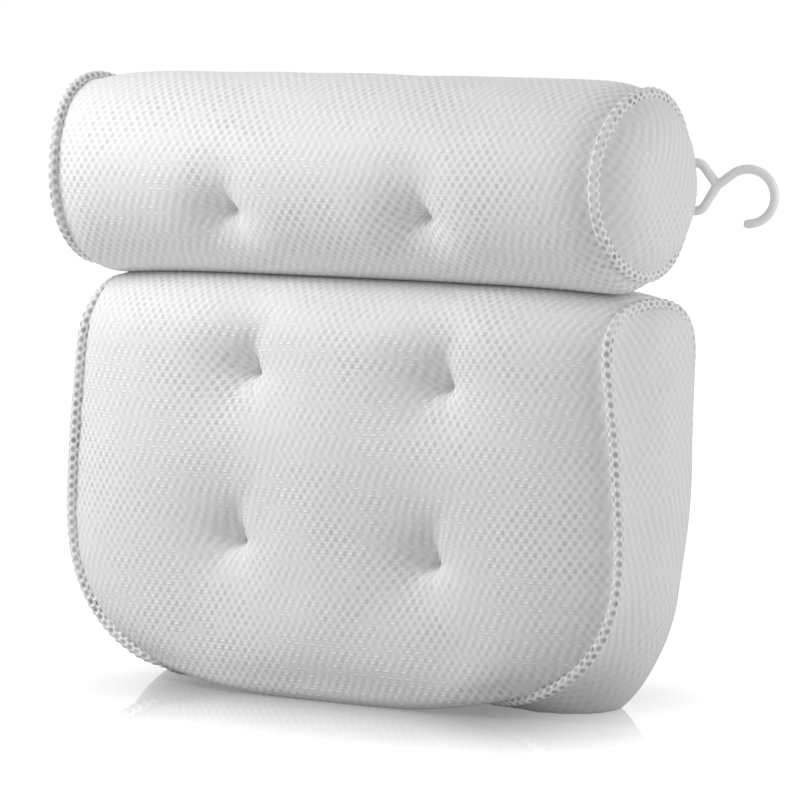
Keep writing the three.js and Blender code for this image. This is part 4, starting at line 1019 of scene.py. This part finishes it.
def suction_cup(name, x, y, z):
    """A cup turned about Y: a button head, a neck and a thin bell that opens by share^1.5."""
    flare = CUP_RADIUS - CUP_NECK
    bell = np.linspace(0.12, 1, 26)
    inside = bell[::-1][1:]
    head_turn = np.linspace(-np.pi / 2, np.pi / 2, 14)
    head = np.stack([CUP_HEAD - CUP_HEAD_ROUND * (1 - np.cos(head_turn)),
                     SEAT + CUP_HEAD_THICK / 2 * (1 + np.sin(head_turn))], -1)
    neck = [(CUP_NECK, SEAT + CUP_HEAD_THICK + CUP_LIP), (CUP_NECK, CUP_BASE)]
    outer = np.stack([CUP_NECK + flare * bell, CUP_BASE + CUP_DEPTH * bell ** CUP_POWER], -1)
    lip = [(CUP_RADIUS - CUP_LIP, CUP_BASE + CUP_DEPTH + CUP_LIP / 2),
           (CUP_RADIUS - CUP_WALL, CUP_BASE + CUP_DEPTH)]
    inner = np.stack([CUP_NECK + flare * inside,
                      CUP_BASE + CUP_WALL + (CUP_DEPTH - CUP_WALL) * inside ** CUP_POWER], -1)
    profile = np.concatenate([[(0, SEAT)], head, neck, outer, lip, inner,
                              [(0, CUP_BASE + CUP_WALL)]])
    turn = np.linspace(0, 2 * np.pi, 56, endpoint=False)
    points = np.stack(np.broadcast_arrays(
        x + profile[:, :1] * np.cos(turn), y + profile[:, 1:],
        z + profile[:, :1] * np.sin(turn)), -1)
    made = sheet(name, points, CUP_VINYL, points[..., :2], loop=True, flip=True)
    merge_points(made)
    return made


def cup_tab(name, x, y, z):
    """A tape tab over a cup's head: rings that grow from the round hole to the tape's outline,
    raised by a smooth step between its sewn feet and its middle."""
    turn = np.linspace(0, 2 * np.pi, 96, endpoint=False)
    grow = np.linspace(0, 1, 22)[:, None]
    cosine, sine = np.cos(turn), np.sin(turn)
    box = np.minimum(TAB_HALF / np.maximum(np.abs(cosine), TINY),
                     TAB_HALF_HEIGHT / np.maximum(np.abs(sine), TINY))
    reach = TAB_HOLE * (1 - grow) + box * grow
    across, up = reach * cosine, reach * sine
    raised = (CUP_HEAD_THICK + SEAT) * smooth_step((TAB_STEP - np.abs(across)) / TAB_SLOPE)
    points = np.stack([x + across, y + SEAT + raised, z + up], -1)
    return sheet(name, points, TAPE_WEAVE, np.stack([across, up], -1), TAB, loop=True, flip=True)


def joining_strip():
    """The fabric strip behind, from the cushion's top to the roll's underside: a ruled surface
    between the two profiles at one depth, bowed back by a sine."""
    x = np.linspace(-STRIP_HALF, STRIP_HALF, 80)
    crown = 1 - np.abs(x / STRIP_CROWN_HALF) ** CROWN_POWER
    y, z = girth(np.linspace(1.5, 2, 400)[:, None], crown[None, :])
    low = np.array([np.interp(STRIP_DEPTH, y[:, k], z[:, k]) for k in range(len(x))])
    high = ROLL_Z - np.sqrt(ROLL_RADIUS ** 2 - STRIP_DEPTH ** 2)
    share = np.linspace(0, 1, 12)[:, None]
    height = low + STRIP_SEAT + (high - low - 2 * STRIP_SEAT) * share
    depth = STRIP_DEPTH + STRIP_BOW * np.sin(np.pi * share)
    points = np.stack(np.broadcast_arrays(x, depth, height), -1)
    cloth = np.stack(np.broadcast_arrays(x, height), -1)
    return sheet("joining_tape", points, TAPE_WEAVE, cloth, STRIP_WALL, offset=0.0)


# The scene

def aim(made, place, target):
    """Puts a camera or light in the scene at a place in mm, looking at a target."""
    made.location = place * MM
    made.rotation_euler = (target - place).to_track_quat("-Z", "Y").to_euler()
    bpy.context.scene.collection.objects.link(made)


def camera():
    """The camera of the photograph: 34 degrees to the right, 5.4 up, 2.57 m away, a long lens."""
    right = Vector((np.cos(CAMERA_TURN), np.sin(CAMERA_TURN), 0))
    ahead = Vector((np.sin(CAMERA_TURN), -np.cos(CAMERA_TURN), 0))
    back = ahead * np.cos(CAMERA_RISE) + Vector((0, 0, np.sin(CAMERA_RISE)))
    data = bpy.data.cameras.new("camera")
    data.lens, data.sensor_width, data.clip_end = LENS, SENSOR, CLIP_END
    made = bpy.data.objects.new("camera", data)
    middle = Vector((0, 0, MIDDLE))
    aim(made, middle + back * REACH, middle + right * AIM_RIGHT - back.cross(right) * AIM_DOWN)
    bpy.context.scene.camera = made


def lights():
    """Soft studio light: a near panel above the front left, a weak one right, and a white room
    that lights the pillow less than it shows."""
    for name, power, size, place in LIGHTS:
        data = bpy.data.lights.new(name, "AREA")
        data.energy, data.size = power, size * MM
        aim(bpy.data.objects.new(name, data), Vector(place), Vector((0, 0, MIDDLE)))
    world = bpy.data.worlds.new("white_room")
    world.use_nodes = True
    tree = world.node_tree
    tree.nodes.clear()
    ray = add(tree, "ShaderNodeLightPath")
    level = add(tree, "ShaderNodeMapRange", {
        "Value": ray.outputs["Is Diffuse Ray"], "To Min": ROOM_SEEN, "To Max": ROOM_CAST})
    glow = add(tree, "ShaderNodeBackground", {
        "Color": (1, 1, 1, 1), "Strength": level.outputs["Result"]})
    add(tree, "ShaderNodeOutputWorld", {"Surface": glow.outputs[0]})
    bpy.context.scene.world = world
    bpy.context.scene.view_settings.view_transform = "Standard"


def floor():
    """A plain white floor whose polish fades away from the cushion's footprint, so that only its
    foot is mirrored, faintly. The floor glows, which is painted light: more to the eye than to
    the pillow above it, whose underside its glow lights, and less round the footprint, a painted
    shadow in a dim line where it stands."""
    material, tree, shader = blank("polished_white_floor")
    place = add(tree, "ShaderNodeTexCoord").outputs["Object"]
    from_middle = add(tree, "ShaderNodeVectorMath", {0: place, 1: (0, -FOOT_MIDDLE * MM, 0)},
                      operation="ADD")
    size = add(tree, "ShaderNodeVectorMath", {0: from_middle.outputs[0]}, operation="ABSOLUTE")
    beyond = add(tree, "ShaderNodeVectorMath", {
        0: size.outputs[0], 1: (-FOOT_HALF_WIDTH * MM, -FOOT_HALF_DEPTH * MM, 0)},
        operation="ADD")
    outside = add(tree, "ShaderNodeVectorMath", {0: beyond.outputs[0], 1: (0, 0, 0)},
                  operation="MAXIMUM")
    far = add(tree, "ShaderNodeVectorMath", {0: outside.outputs[0]},
              operation="LENGTH").outputs["Value"]
    polish = add(tree, "ShaderNodeMapRange", {
        "Value": far, "From Min": POLISH_NEAR * MM, "From Max": POLISH_FAR * MM,
        "To Min": POLISH, "To Max": 0.0}, interpolation_type="SMOOTHSTEP")
    # The glow is painted light; near the footprint it is dimmed into a painted shadow
    glow = add(tree, "ShaderNodeMapRange", {
        "Value": far, "From Min": GLOW_NEAR * MM, "From Max": GLOW_FAR * MM,
        "To Min": GLOW_DIM, "To Max": GLOW}, interpolation_type="SMOOTHSTEP").outputs["Result"]
    # Bounce: the floor's weaker glow that lights the pillow, also painted light
    bounce = add(tree, "ShaderNodeMath", {0: glow, 1: BOUNCE, 2: BOUNCE_LESS},
                 operation="MULTIPLY_ADD")
    ray = add(tree, "ShaderNodeLightPath")
    seen = add(tree, "ShaderNodeMapRange", {
        "Value": ray.outputs["Is Camera Ray"], "To Min": bounce.outputs[0], "To Max": glow})
    feed(tree, shader, {
        "Base Color": linear("#8C8C8C"), "Roughness": 0.05, "Emission Color": (1, 1, 1, 1),
        "Specular IOR Level": polish.outputs["Result"],
        "Emission Strength": seen.outputs["Result"]})
    corners = np.array([(-1, -1, 0), (1, -1, 0), (1, 1, 0), (-1, 1, 0)]) * FLOOR_HALF
    piece("floor", corners, np.array([[0, 1, 2, 3]]), material, smooth=False)


def finish_piece(made, body, slot, *nodes, fill=None):
    """Rides a piece on its body and hides the nodes it stands for."""
    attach(made, body)
    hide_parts(*nodes)


camera()
lights()
floor()

finish_piece(cushion_cover(), "cushion", "air_mesh", "cushion_wrap", "cushion_filling",
             fill=0.8)
finish_piece(roll_cover(), "roll", "air_mesh", "roll_wrap", "roll_filling", fill=0.9)
seam, seam_length = seam_path(SEAM_POINTS)
back_reach = BACK_DEPTH + BACK_CROWN
for label, sign in SIDES.items():
    finish_piece(cushion_side(f"cushion_side_panel_{label}", sign), "cushion", "air_mesh",
                 f"cushion_side_{label}", fill=0.7)
    finish_piece(bead(f"cushion_bead_{label}", seam, seam_length, seam.mean(0), sign), "cushion",
                 "binding", f"cushion_binding_{label}")
    finish_piece(roll_end(f"roll_end_panel_{label}", sign), "roll", "air_mesh",
                 f"roll_end_{label}", fill=0.8)
    finish_piece(roll_bead(f"roll_bead_{label}", sign), "roll", "binding",
                 f"roll_binding_{label}")
    for level, height in CUP_HEIGHTS.items():
        finish_piece(suction_cup(f"cushion_suction_cup_{level}_{label}", sign * CUP_X, back_reach,
                                 height), "cushion", "clear_cup", f"cushion_cup_{level}_{label}")
        finish_piece(cup_tab(f"cushion_tab_{level}_{label}", sign * CUP_X, back_reach, height),
                     "cushion", "webbing", f"cushion_cup_tab_{level}_{label}")
    finish_piece(suction_cup(f"roll_suction_cup_{label}", sign * ROLL_CUP_X, ROLL_RADIUS, ROLL_Z),
                 "roll", "clear_cup", f"roll_cup_{label}")
    finish_piece(cup_tab(f"roll_tab_{label}", sign * ROLL_CUP_X, ROLL_RADIUS, ROLL_Z), "roll",
                 "webbing", f"roll_cup_tab_{label}")
finish_piece(hook(), "hook", "hook_plastic", "hook")
finish_piece(hook_tape(), "roll", "webbing", "hook_loop")

strip = joining_strip()
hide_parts("joining_strip")
# The bend runs up the strip at its own depth. Its ends are in metres.
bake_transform(strip)

for node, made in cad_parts.items():
    made.data.materials.clear()
    made.data.materials.append(THREAD if "tie" in node else FILLING_FIBRE)
